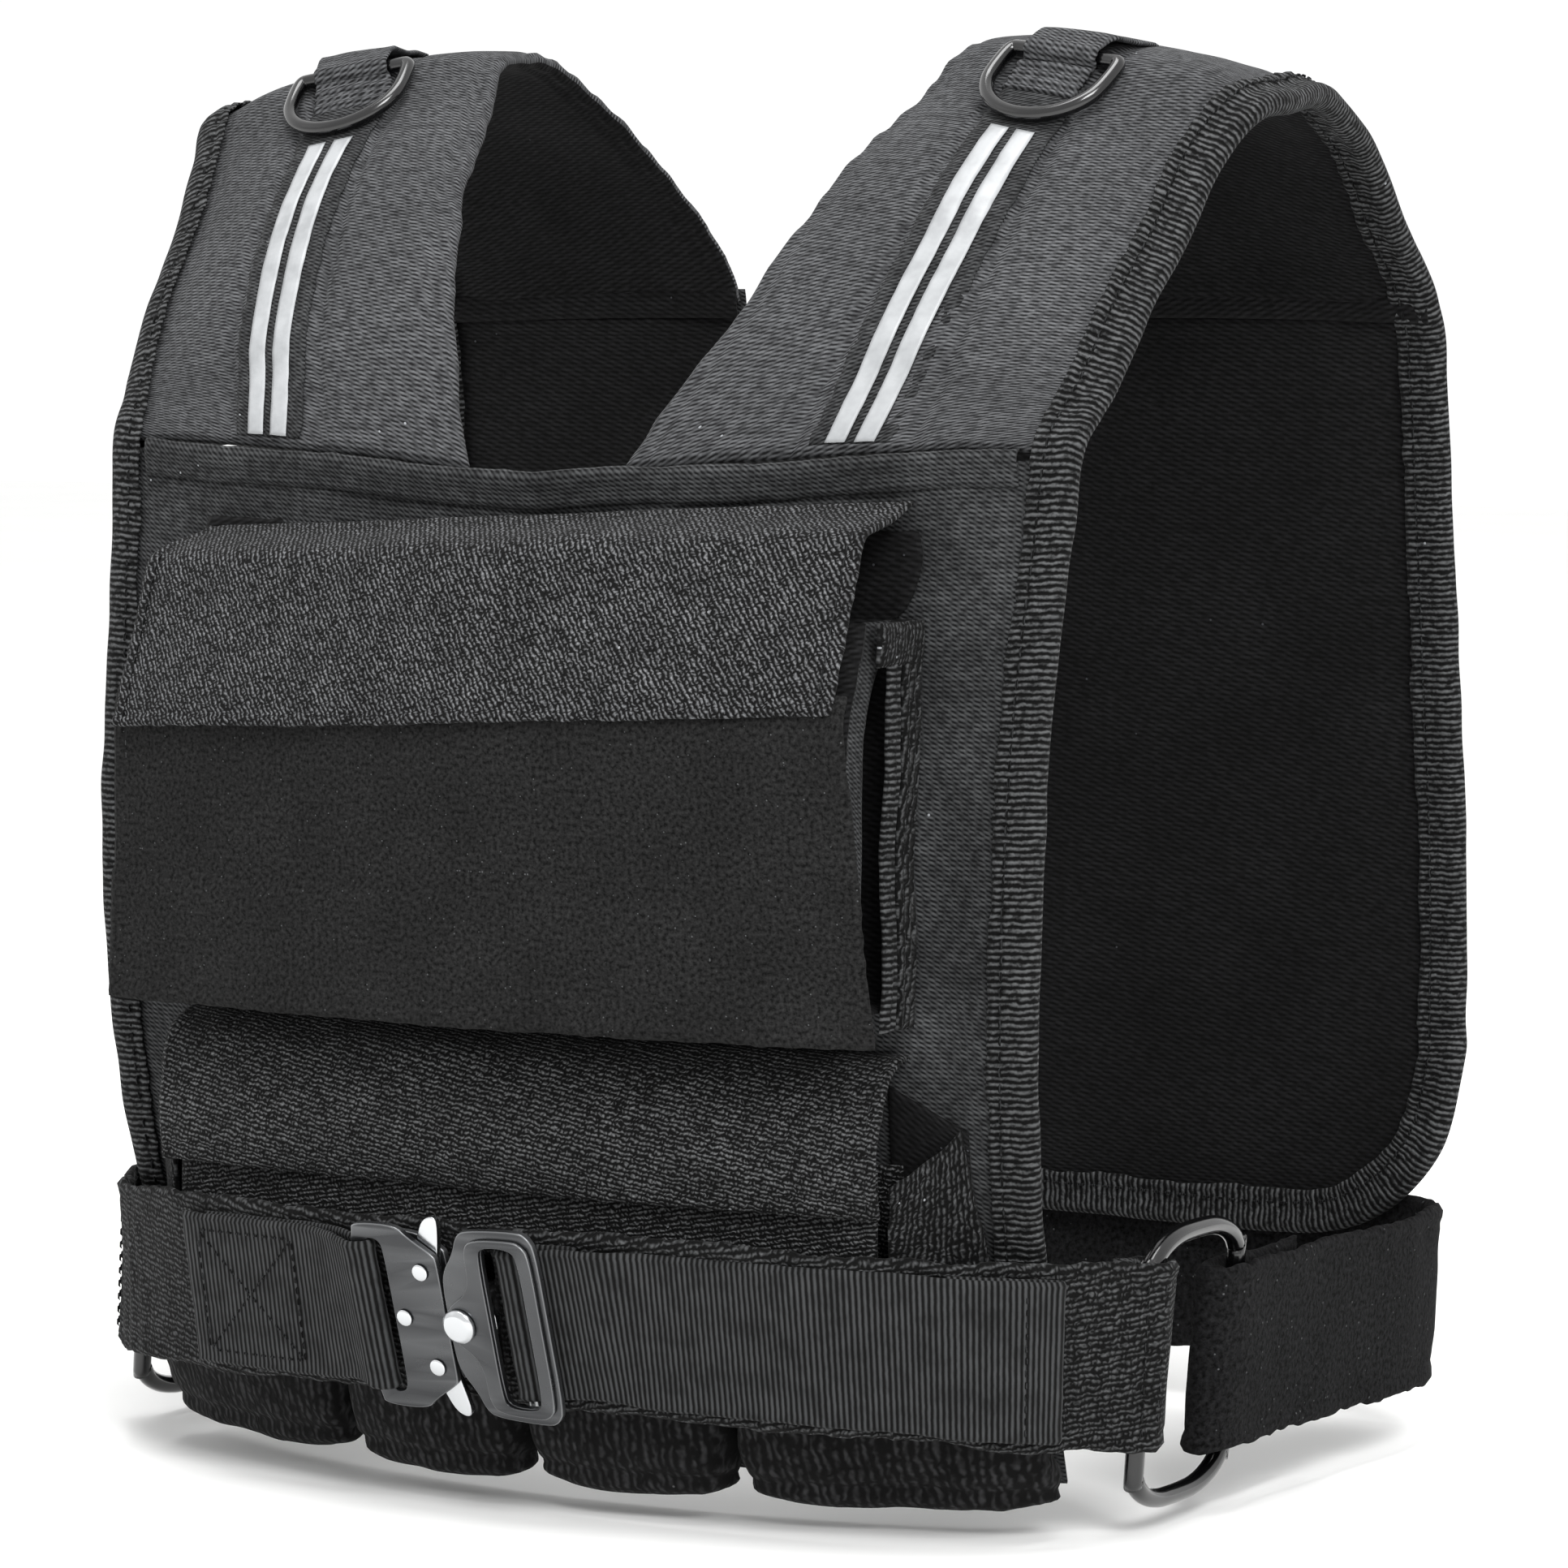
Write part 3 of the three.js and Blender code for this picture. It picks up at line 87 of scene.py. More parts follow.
def clothCoordinates(tree, mapName):
    # Sewn pieces carry their thread direction in millimetres; pads, thread and metal use their own place
    if mapName:
        return addNode(tree, "UVMap", {"uv_map": mapName}).outputs[0]
    place = addNode(tree, "TexCoord").outputs["Object"]
    return addNode(tree, "VectorMath", {"operation": "SCALE", "Scale": 1000.0}, {0: place}).outputs[0]


def bands(tree, where, pitch, turn, wobble):
    # Threads side by side, one every pitch millimetres, turned by that many degrees
    turned = addNode(tree, "Mapping", {"Rotation": (0, 0, radians(turn))}, {0: where})
    wave = addNode(tree, "TexWave", {
        "wave_type": "BANDS", "bands_direction": "X", "Scale": wavePeriod / pitch,
        "Distortion": wobble, "Detail": 2.0, "Detail Scale": 1.6, "Detail Roughness": 0.6,
    }, {0: turned.outputs[0]})
    return wave.outputs["Fac"]


def grains(tree, where, pitch, softness=0.6):
    # Rounded tufts, one every pitch millimetres
    cells = addNode(tree, "TexVoronoi", {"feature": "SMOOTH_F1", "Scale": 1 / pitch, "Smoothness": softness},
                    {0: where})
    return addNode(tree, "MapRange", {1: 0.15, 2: 0.75, 3: 1.0, 4: 0.0},
                   {0: cells.outputs["Distance"]}).outputs[0]


def cloudy(tree, where, size, detail=3.0):
    scale = {"Scale": 1 / size, "Detail": detail, "Roughness": 0.6}
    return addNode(tree, "TexNoise", scale, {0: where}).outputs["Fac"]


def multiplied(tree, first, second):
    return addNode(tree, "Math", {"operation": "MULTIPLY"}, {0: first, 1: second}).outputs[0]


def blended(tree, share, first, second):
    return addNode(tree, "Mix", {"data_type": "FLOAT", 0: share}, {2: first, 3: second}).outputs[0]


def fabric(look, height, tree, shader, where):
    # Colour follows the height of the threads: partly the threads' own tone, partly painted shade in the gaps
    # and painted highlight on the tops. Then broad mottling of wear and painted shade, then single bright
    # fibres
    thread = addNode(tree, "ValToRGB",
                     {"stops": [(look["gap"], linear(look["dark"])), (look["top"], linear(look["light"]))]},
                     {0: height})
    # Broad mottling: wear on every cloth, and on the panel cloth also painted shade and light of its wrinkles
    wearAndShadePatches = addNode(tree, "MapRange", {1: 0.3, 2: 0.7, 3: look["wearShadeDark"], 4: look["wearShadeLight"]},
                      {0: cloudy(tree, where, look["wearShadeSize"])})
    wearAndPaintedLight = addNode(tree, "VectorMath", {"operation": "SCALE"},
                   {0: thread.outputs[0], "Scale": wearAndShadePatches.outputs[0]})
    lint = addNode(tree, "TexVoronoi", {"Scale": 1 / look["lintSpace"], "Randomness": 1.0}, {0: where})
    spot = addNode(tree, "Math", {"operation": "LESS_THAN", 1: look["lintSize"]},
                   {0: lint.outputs["Distance"]})
    chosen = addNode(tree, "SeparateColor", {}, {0: lint.outputs["Color"]})
    rare = addNode(tree, "Math", {"operation": "GREATER_THAN", 1: 1 - look["lintShare"]},
                   {0: chosen.outputs[0]})
    fibre = multiplied(tree, spot.outputs[0], rare.outputs[0])
    colour = addNode(tree, "Mix", {"data_type": "RGBA", 7: linear(look["lint"])},
                     {0: fibre, 6: wearAndPaintedLight.outputs[0]})
    tree.links.new(colour.outputs[2], shader.inputs["Base Color"])
    shine = addNode(tree, "MapRange", {1: 0.0, 2: 1.0, 3: look["roughGap"], 4: look["roughTop"]}, {0: height})
    tree.links.new(shine.outputs[0], shader.inputs["Roughness"])
    bump = addNode(tree, "Bump", {"Strength": look["bump"], "Distance": look["depth"] * mm},
                   {"Height": height})
    tree.links.new(bump.outputs[0], shader.inputs["Normal"])


# Shader values that the cloths share
clothSkin = {"Metallic": 0.0, "IOR": 1.5, "Specular IOR Level": 0.12, "Sheen Weight": 0.02,
             "Sheen Roughness": 0.5}
plainCloth = {"lint": "#8b8d90", "lintSpace": 9.0, "lintSize": 0.045, "lintShare": 0.12, "wearShadeSize": 42.0,
              "wearShadeDark": 0.85, "wearShadeLight": 1.15, "roughGap": 0.95, "roughTop": 0.72, "bump": 0.7,
              "depth": 0.5}

# Woven nylon, 1000 denier, fine twill: short slanting threads with a faint sheen.
# Real threads are 0.5 mm apart, too fine to show, so the twill is drawn at 1.2 mm.
nylonLook = plainCloth | {"dark": "#151516", "light": "#5c5d5f", "gap": 0.1, "top": 0.8, "twill": 1.2,
                          "weft": 1.5, "twillTurn": 66.0, "bump": 0.45, "depth": 0.35}


def wovenNylon(name, look):
    material, tree, shader = surfaceOf(name, clothSkin)
    where = clothCoordinates(tree, "cloth")
    twill = bands(tree, where, look["twill"], look["twillTurn"], 1.8)
    weft = bands(tree, where, look["weft"], 90.0, 1.4)
    crossed = blended(tree, 0.42, twill, weft)
    broken = addNode(tree, "MapRange", {1: 0.3, 2: 0.7, 3: 0.45, 4: 1.1}, {0: cloudy(tree, where, 3.2, 2.0)})
    fabric(look, multiplied(tree, crossed, broken.outputs[0]), tree, shader, where)
    return material


nylon = wovenNylon("wovenNylon", nylonLook)
# Panel cloth: strong broad mottling, partly wear and partly painted shade and light standing in for its
# wrinkles
panelNylon = wovenNylon("wovenNylonPanel", nylonLook | {"dark": "#0d0d0e", "light": "#434445",
                                                        "twillTurn": 58.0, "wearShadeSize": 26.0, "wearShadeDark": 0.62,
                                                        "wearShadeLight": 1.38})
# Lining nylon: its own black, darkened further as painted shade of the vest's shaded inside
shadedLiningNylon = wovenNylon("shadedLiningNylon", nylonLook | {
    "dark": "#050505", "light": "#1a1a1b", "twill": 2.0, "wearShadeDark": 0.7, "wearShadeLight": 1.3,
    "lint": "#3c3d40"})

# Grosgrain tape, polyester: coarse ribs straight across the tape, dull, with painted highlight on the rib
# tops and painted shade between them.
# Real ribs are about 1.2 mm apart; drawn at 2 mm so that they show.
tapeLook = plainCloth | {"dark": "#070707", "light": "#535455", "gap": 0.2, "top": 0.95, "rib": 2.0,
                         "cross": 2.6, "bump": 0.8, "depth": 0.8, "thin": 0.35, "wearShadeSize": 16.0,
                         "wearShadeDark": 0.75, "wearShadeLight": 1.2}


def ribbedTape(name, look, mapName="cloth"):
    material, tree, shader = surfaceOf(name, clothSkin)
    where = clothCoordinates(tree, mapName)
    ribs = bands(tree, where, look["rib"], look.get("turn", 90.0), look.get("wobble", 2.4))
    broken = addNode(tree, "MapRange", {1: 0.35, 2: 0.62, 3: look["thin"], 4: 1.15},
                     {0: cloudy(tree, where, look["cross"], 2.0)})
    fabric(look, multiplied(tree, ribs, broken.outputs[0]), tree, shader, where)
    return material


tape = ribbedTape("grosgrainTape", tapeLook)
# Nylon webbing, 50 mm: fine upright ribs, flatter and more even than the tape.
# Real ribs are about 1.4 mm apart; drawn at 1.8 mm.
webbingLook = tapeLook | {"dark": "#0b0b0b", "light": "#3d3e3f", "rib": 1.8, "cross": 9.0, "turn": 90.0,
                          "wobble": 0.6, "thin": 0.75,
                          "bump": 0.7, "depth": 0.5, "wearShadeDark": 0.85, "wearShadeLight": 1.15}
webbingNylon = ribbedTape("nylonWebbing", webbingLook)

# Loop tape, brushed nylon: pebbled tufts and broken threads lightened by painted highlight, with painted
# shade in the pits between them.
# Real tufts are about 1 mm; drawn at 1.35 to 1.6 mm.
loopLook = plainCloth | {"dark": "#080808", "light": "#767779", "gap": 0.12, "top": 0.8, "tuft": 1.35,
                         "strand": 1.5, "turn": 35.0, "bump": 1.0, "depth": 0.9, "wearShadeSize": 12.0,
                         "wearShadeDark": 0.7, "wearShadeLight": 1.2}


def loopTape(name, look, mapName="cloth"):
    material, tree, shader = surfaceOf(name, clothSkin | {"Sheen Roughness": 0.6})
    where = clothCoordinates(tree, mapName)
    tufts = grains(tree, where, look["tuft"])
    strands = bands(tree, where, look["strand"], look["turn"], 5.0)
    worms = bands(tree, where, look["strand"], look["turn"] + 75, 9.0)
    mixed = blended(tree, 0.45, multiplied(tree, tufts, strands), multiplied(tree, strands, worms))
    fabric(look, mixed, tree, shader, where)
    return material


loopNylon = loopTape("brushedLoopNylon", loopLook)
rollLoop = loopTape("brushedLoopRoll", loopLook | {"dark": "#060606", "light": "#6a6b6c", "turn": 80.0,
                                                   "tuft": 1.5})
beltLoop = loopTape("brushedLoopBelt", loopLook | {"dark": "#060606", "light": "#4f5051", "turn": 10.0,
                                                   "tuft": 1.6, "strand": 1.9})
# Air mesh, polyester knit: rows of round pits, very dark. Real pits are 1.5 mm apart; drawn at 2.6 mm.
meshLook = loopLook | {"dark": "#080808", "light": "#2c2c2d", "lint": "#4a4a4b", "bump": 0.5, "tuft": 2.6,
                       "strand": 3.0, "turn": 0.0}
airMesh = loopTape("airMeshKnit", meshLook, None)

# Fleece, brushed polyester: short soft pile without a direction, near black, with single light fibres.
# Real pile is finer than a tenth of a millimetre; drawn in clumps of 1.3 mm.
fleeceLook = plainCloth | {"dark": "#0a0a0a", "light": "#292929", "gap": 0.35, "top": 0.68, "clump": 1.3,
                           "bump": 0.7, "depth": 0.4, "wearShadeSize": 30.0, "lint": "#4c4d4e", "lintSpace": 1.7,
                           "lintSize": 0.14, "lintShare": 0.14, "roughGap": 1.0, "roughTop": 0.92}


def fleecePile(name, look, mapName="cloth"):
    material, tree, shader = surfaceOf(name, clothSkin | {"Specular IOR Level": 0.05, "Sheen Weight": 0.01,
                                                          "Sheen Roughness": 0.7})
    where = clothCoordinates(tree, mapName)
    fabric(look, cloudy(tree, where, look["clump"], 4.0), tree, shader, where)
    return material


fleece = fleecePile("brushedFleece", fleeceLook)
feltLoop = fleecePile("feltedLoop", fleeceLook | {"dark": "#050505", "light": "#212122", "clump": 1.7,
                                                  "bump": 1.0, "depth": 1.0, "lintSpace": 2.4,
                                                  "lintShare": 0.22})

# Retroreflective tape: glass beads in a pale grey skin, smooth and a little bright, dulled in patches
stripeLook = {"pale": "#a4a6a8", "dull": "#8f9193", "bead": 1.1}


def reflectiveTape(look):
    material, tree, shader = surfaceOf("retroreflectiveTape",
                                       {"Metallic": 0.0, "IOR": 1.5, "Roughness": 0.35})
    where = clothCoordinates(tree, "cloth")
    wearAndPaintedLight = cloudy(tree, where, 14.0)
    colour = addNode(tree, "ValToRGB", {"stops": [(0.35, linear(look["dull"])), (0.6, linear(look["pale"]))]},
                     {0: wearAndPaintedLight})
    tree.links.new(colour.outputs[0], shader.inputs["Base Color"])
    bump = addNode(tree, "Bump", {"Strength": 0.25, "Distance": 0.2 * mm},
                   {"Height": cloudy(tree, where, look["bead"])})
    tree.links.new(bump.outputs[0], shader.inputs["Normal"])
    return material


reflective = reflectiveTape(stripeLook)


def metalFinish(name, colour, wearAndPaintedLight, rough, metallic, coat=0.0, grain=0.35):
    material, tree, shader = surfaceOf(name, {"Metallic": metallic, "Coat Weight": coat,
                                              "Coat Roughness": 0.12})
    where = clothCoordinates(tree, None)
    # Sharp edges take the second colour: painted highlight along the edges of the plates and steel parts, a
    # little rubbed grey wear on the ring wire
    edge = addNode(tree, "NewGeometry").outputs["Pointiness"]
    edgeWearAndGlint = addNode(tree, "MapRange", {1: 0.515, 2: 0.57, 3: 0.0, 4: 0.8}, {0: edge})
    mixed = addNode(tree, "Mix", {"data_type": "RGBA", 6: linear(colour), 7: linear(wearAndPaintedLight)},
                    {0: edgeWearAndGlint.outputs[0]})
    tree.links.new(mixed.outputs[2], shader.inputs["Base Color"])
    clouds = addNode(tree, "MapRange", {1: 0.3, 2: 0.7, 3: rough * 0.8, 4: rough * 1.25},
                     {0: cloudy(tree, where, 6.0)})
    tree.links.new(clouds.outputs[0], shader.inputs["Roughness"])
    bump = addNode(tree, "Bump", {"Strength": 0.12, "Distance": 0.05 * mm},
                   {"Height": cloudy(tree, where, grain)})
    tree.links.new(bump.outputs[0], shader.inputs["Normal"])
    return material


# Powder-coated steel wire: smooth black skin with long bright highlights, rubbed a little grey on the bends
ringSteel = metalFinish("powderCoatedSteel", "#070708", "#232425", 0.2, 0.2, 0.6)
# Anodised aluminium plate, bead blasted: satin black, with a painted highlight drawn as thin pale lines along
# the cut edges
plateAluminium = metalFinish("anodisedAluminium", "#333436", "#b4b6b8", 0.3, 0.8, 0.3)
# Stainless steel, turned and polished: bright rivets, stud and lever tips
polishedSteel = metalFinish("polishedStainless", "#c9cbcd", "#e4e6e8", 0.2, 1.0)
# Bonded polyester thread: dark, with fine ridges; its own black darkened further as painted shade of the
# groove each stitch row pulls into the cloth
threadLook = tapeLook | {"dark": "#050505", "light": "#2b2c2d", "rib": 0.8, "cross": 3.0, "turn": 0.0,
                         "depth": 0.1}
thread = ribbedTape("bondedThreadGrooveShade", threadLook, None)
# Paler thread for the fleece face: the seams drawn as light lines, a painted highlight of the light their
# ledges catch
paleThreadSeamHighlight = ribbedTape("bondedThreadPaleSeamHighlight", threadLook | {"dark": "#1b1b1c", "light": "#515253"}, None)
print("materials made")

# Smooth surfaces through rows of points


def splineWeights(count, steps):
    steps = np.clip(np.asarray(steps, float), 0, count - 1)
    base = np.minimum(steps.astype(int), count - 2)
    f = steps - base
    parts = [(-1, -0.5 * f + f ** 2 - 0.5 * f ** 3), (0, 1 - 2.5 * f ** 2 + 1.5 * f ** 3),
             (1, 0.5 * f + 2 * f ** 2 - 1.5 * f ** 3), (2, -0.5 * f ** 2 + 0.5 * f ** 3)]
    weights = np.zeros((len(steps), count))
    rows = np.arange(len(steps))
    for shift, share in parts:
        at = base + shift
        for mask, targets in (((at >= 0) & (at < count), None), (at < 0, (0, 1)),
                              (at >= count, (count - 1, count - 2))):
            if targets is None:
                np.add.at(weights, (rows[mask], at[mask]), share[mask])
            else:
                np.add.at(weights, (rows[mask], targets[0]), 2 * share[mask])
                np.add.at(weights, (rows[mask], targets[1]), -share[mask])
    return weights


def surfaceAt(control, rows, columns):
    return np.einsum("ri,ijk,cj->rck", splineWeights(control.shape[0], rows), control,
                     splineWeights(control.shape[1], columns))


def evenSteps(control, axis, step):
    # Row or column steps that cut the cloth into equal lengths, with those lengths
    count = control.shape[axis]
    fine = np.linspace(0, count - 1, (count - 1) * 12 + 1)
    other = np.linspace(0, control.shape[1 - axis] - 1, 7)
    net = surfaceAt(control, fine, other) if axis == 0 else surfaceAt(control, other, fine)
    chords = np.linalg.norm(np.diff(net, axis=axis), axis=2).mean(axis=1 - axis)
    length = np.concatenate([[0], np.cumsum(chords)])
    marks = np.linspace(0, length[-1], max(2, round(length[-1] / step)) + 1)
    return np.interp(marks, length, fine), marks


def unit(vectors):
    return vectors / np.maximum(np.linalg.norm(vectors, axis=-1, keepdims=True), 1e-9)


def gridNormals(grid):
    return unit(np.cross(np.gradient(grid, axis=0), np.gradient(grid, axis=1)))


noiseTable = np.random.default_rng(41).uniform(-1, 1, 4096)


def lumps(points, size, seed):
    # Soft noise between -1 and 1, with lumps of that size in millimetres
    place = np.asarray(points) / size + seed * 17.31
    base = np.floor(place).astype(np.int64)
    f = place - base
    f = f * f * (3 - 2 * f)
    total = 0
    for corner in product((0, 1), repeat=3):
        key = base + np.array(corner)
        mixed = key[..., 0] * 1619 + key[..., 1] * 31337 + key[..., 2] * 6971 + seed * 1013
        value = noiseTable[mixed % len(noiseTable)]
        share = np.prod(np.where(corner, f, 1 - f), axis=-1)
        total = total + value * share
    return total


def bell(distance, width):
    return np.exp(-(distance / width) ** 2)


def meshPiece(name, points, faces, materials, uv=None, faceSlots=None):
    mesh = bpy.data.meshes.new(name)
    mesh.from_pydata((np.asarray(points) * mm).tolist(), [], faces)
    if uv is not None:
        layer = mesh.uv_layers.new(name="cloth")
        corners = np.empty(len(mesh.loops), np.int64)
        mesh.loops.foreach_get("vertex_index", corners)
        layer.uv.foreach_set("vector", np.asarray(uv)[corners].astype(np.float32).ravel())
    for material in materials:
        mesh.materials.append(material)
    mesh.polygons.foreach_set("use_smooth", np.ones(len(mesh.polygons), bool))
    if faceSlots is not None:
        mesh.polygons.foreach_set("material_index", np.asarray(faceSlots, np.int32))
    mesh.update()
    piece = bpy.data.objects.new(name, mesh)
    bpy.context.scene.collection.objects.link(piece)
    return piece


def sew(piece, slot, *replaced, body="vest"):
    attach(piece, body)
    if replaced:
        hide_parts(*replaced)
    return piece


def clothPiece(name, control, low, high, materials, step=2.4, relief=None, facing=None, ragged=0.0, edge=0.35,
               fray=1, waver=0.0):
    # A sheet of cloth through the control points: two faces low and high above them, joined by a rounded rim.
    # relief gives, for places in millimetres on the cloth, how far both faces rise and how much each swells.
    control = np.asarray(control, float)
    rowSteps, rowMarks = evenSteps(control, 0, step)
    columnSteps, columnMarks = evenSteps(control, 1, step)
    grid = surfaceAt(control, rowSteps, columnSteps)
    normals = gridNormals(grid)
    turned = facing is not None and (normals.mean((0, 1)) @ np.array(facing, float)) < 0
    if turned:
        normals = -normals
    rows, columns = grid.shape[:2]
    across, along = np.meshgrid(columnMarks, rowMarks)
    rise, swell = relief(across, along, grid) if relief else (0.0, 0.0)
    border = np.minimum(np.minimum(across, columnMarks[-1] - across), np.minimum(along, rowMarks[-1] - along))
    middle, half = (low + high) / 2, (high - low) / 2
    rounding = np.sqrt(1 - (1 - np.clip(border / max(half, 0.8), 0, 1)) ** 2)
    rounding = edge + (1 - edge) * rounding
    if waver:
        sideways = unit(np.gradient(grid, axis=1))
        drift = [lumps(grid[:, end], 17, fray + 5 + k)[:, None] for k, end in enumerate((0, -1))]
        reach = drift[0] * bell(across, 10) + drift[1] * bell(columnMarks[-1] - across, 10)
        grid = grid + sideways * (waver * reach)[..., None]
    if ragged:
        inner = grid[[1, -2]][:, :] - grid[[0, -1]]
        grid[[0, -1]] += unit(inner) * (lumps(grid[[0, -1]], 3.5, fray) * ragged)[..., None]
        inner = grid[:, [1, -2]] - grid[:, [0, -1]]
        grid[:, [0, -1]] += unit(inner) * (lumps(grid[:, [0, -1]], 3.5, fray + 1) * ragged)[..., None]
    top = grid + normals * ((middle + rise) + (half + swell) * rounding)[..., None]
    bottom = grid + normals * ((middle + rise) - (half + swell) * rounding)[..., None]
    points = np.concatenate([top.reshape(-1, 3), bottom.reshape(-1, 3)])
    uv = np.tile(np.stack([across, along], -1).reshape(-1, 2), (2, 1))
    index = np.arange(rows * columns).reshape(rows, columns)
    a, b, c, d = index[:-1, :-1], index[:-1, 1:], index[1:, 1:], index[1:, :-1]
    quads = np.stack([a, b, c, d], -1).reshape(-1, 4)
    if not turned:
        quads = quads[:, ::-1]
    under = quads[:, ::-1] + rows * columns
    rim = np.concatenate([index[0, :], index[1:, -1], index[-1, -2::-1], index[-2:0:-1, 0]])
    after = np.roll(rim, -1)
    wall = np.stack([rim, after, after + rows * columns, rim + rows * columns], -1)
    if turned:
        wall = wall[:, ::-1]
    faces = np.concatenate([quads, under, wall])
    slots = np.concatenate([np.zeros(len(quads)), np.full(len(under), len(materials) - 1),
                            np.zeros(len(wall))])
    return meshPiece(name, points, faces.tolist(), materials, uv, slots)


def mirror(points):
    return np.asarray(points, float) * np.array([-1, 1, 1])


bothSides = (("left", np.array), ("right", mirror))


def stitchPiece(name, lines, stitch=3.0, gap=1.3, width=0.8, height=0.5):
    # Rows of stitches: each a short swollen grain that dips into the cloth at both ends
    points, faces = [], []
    sides = 6
    profile = [(0.0, 0.25, -0.35), (0.22, 0.95, 0.1), (0.78, 0.95, 0.1), (1.0, 0.25, -0.35)]
    for path, normals in lines:
        path, normals = np.asarray(path, float), np.asarray(normals, float)
        length = np.concatenate([[0], np.cumsum(np.linalg.norm(np.diff(path, axis=0), axis=1))])
        starts = np.arange(gap, length[-1] - stitch, stitch + gap)
        look = lambda s, source: np.array([np.interp(s, length, source[:, k]) for k in range(3)])
        for start in starts:
            first, last = look(start, path), look(start + stitch, path)
            up = unit(look(start + stitch / 2, normals))
            along = unit(last - first)
            side = np.cross(up, along)
            base = len(points)
            for share, wide, lift in profile:
                centre = first + (last - first) * share + up * lift
                for k in range(sides):
                    angle = 2 * pi * k / sides
                    around = side * (cos(angle) * width / 2 * wide) + up * (sin(angle) * height * wide)
                    points.append(centre + around)
            for ring in range(len(profile) - 1):
                for k in range(sides):
                    j = (k + 1) % sides
                    at = base + ring * sides
                    faces.append([at + k, at + j, at + sides + j, at + sides + k])
            faces.append([base + k for k in range(sides - 1, -1, -1)])
            faces.append([base + (len(profile) - 1) * sides + k for k in range(sides)])
    return meshPiece(name, points, faces, [thread])


def seamOn(control, low, start, end, facing, steps=160):
    # A line on the smooth cloth between two places given as shares along and across
    control = np.asarray(control, float)
    rows, columns = control.shape[0] - 1, control.shape[1] - 1
    v = np.linspace(start[0], end[0], steps) * rows
    u = np.linspace(start[1], end[1], steps) * columns
    wv, wu = splineWeights(rows + 1, v), splineWeights(columns + 1, u)
    at = lambda a, b: np.einsum("ni,ijk,nj->nk", splineWeights(rows + 1, a), control,
                                splineWeights(columns + 1, b))
    line = np.einsum("ni,ijk,nj->nk", wv, control, wu)
    normal = unit(np.cross(at(np.clip(v + 0.1, 0, rows), u) - at(np.clip(v - 0.1, 0, rows), u),
                           at(v, np.clip(u + 0.1, 0, columns)) - at(v, np.clip(u - 0.1, 0, columns))))
    if (normal.mean(0) @ np.array(facing, float)) < 0:
        normal = -normal
    return line + normal * low, normal


# Shoulder straps
clothHalf = 2.0
seamGap = 0.4
strap = {"shoulderHalf": 198, "neckHalf": 88, "frontReach": 108, "backReach": 143, "neckDrop": 131,
         "yokeDrop": 78, "pad": 1.1, "bandEdge": 0.9, "ragged": 0.35, "wrinkle": 1.0, "waver": 1.5,
         "bindingWidth": 18, "creaseAt": 16.5, "creaseWidth": 2.2, "frontTo": 0.56, "frontFade": 0.06,
         "neckFade": 9, "armSeam": 14, "armFade": 10, "neckSeam": 6, "neckPucker": 3, "puckerPitch": 2.1}
# side, outer x y z, inner x y z, crown: shares of the sizes above, from the front hem to the back yoke
strapRows = [
    (0, 0.889, 0.815, 0.924, 0.318, 0.985, 0.985, 4), (0, 0.899, 0.741, 0.840, 0.477, 0.843, 0.779, 6),
    (0, 0.909, 0.685, 0.779, 0.591, 0.722, 0.626, 9), (0, 0.924, 0.556, 0.618, 0.727, 0.519, 0.412, 10.5),
    (0, 0.939, 0.398, 0.466, 0.795, 0.389, 0.275, 10.5), (0, 0.960, 0.241, 0.267, 0.909, 0.111, 0.107, 9),
    (0, 0.995, 0.093, 0.150, 0.977, 0.000, 0.008, 8), (1, 1.000, 0.084, 0.210, 1.011, 0.126, -0.030, 6.5),
    (1, 0.990, 0.252, 0.179, 1.000, 0.266, -0.013, 5), (1, 0.980, 0.448, 0.308, 0.955, 0.448, 0.167, 4),
    (1, 0.975, 0.573, 0.462, 0.909, 0.601, 0.372, 4), (1, 0.975, 0.685, 0.692, 0.864, 0.720, 0.577, 4),
    (1, 0.980, 0.769, 0.846, 0.807, 0.811, 0.795, 3), (1, 0.985, 0.818, 1.000, 0.773, 0.853, 0.974, 2),
]
innerEdge, outerEdge = [], []
for back, ox, oy, oz, ix, iy, iz, crown in strapRows:
    reach = strap["backReach"] if back else -strap["frontReach"]
    drop = strap["yokeDrop"] if back else strap["neckDrop"]
    innerEdge.append([strap["neckHalf"] * ix, reach * iy, -drop * iz])
    outerEdge.append([strap["shoulderHalf"] * ox, reach * oy, -drop * oz])
innerEdge, outerEdge = np.array(innerEdge), np.array(outerEdge)
crowns = np.array([row[7] for row in strapRows])
spine = (innerEdge + outerEdge) / 2
spineAhead = np.array([spine[min(r + 1, len(spine) - 1)] - spine[max(r - 1, 0)] for r in range(len(spine))])
strapOut = unit(np.cross(outerEdge - innerEdge, spineAhead))
strapShares = np.array([0, 0.14, 0.28, 0.45, 0.62, 0.77, 0.91, 1.0])
strapRise = (strapOut * crowns[:, None])[:, None] * (4 * strapShares * (1 - strapShares))[None, :, None]
strapControl = innerEdge[:, None] + (outerEdge - innerEdge)[:, None] * strapShares[None, :, None] + strapRise
bandSpan = {"top": 0.41, "bottom": 0.52, "topAt": 6.9, "bottomAt": 0.12, "width": 27, "thickness": 1.2}


def bandShare(v):
    return bandSpan["bottom"] + (bandSpan["top"] - bandSpan["bottom"]) * (v - bandSpan["bottomAt"]) / (
        bandSpan["topAt"] - bandSpan["bottomAt"])


def columnOf(share):
    return np.interp(share, strapShares, np.arange(len(strapShares)))


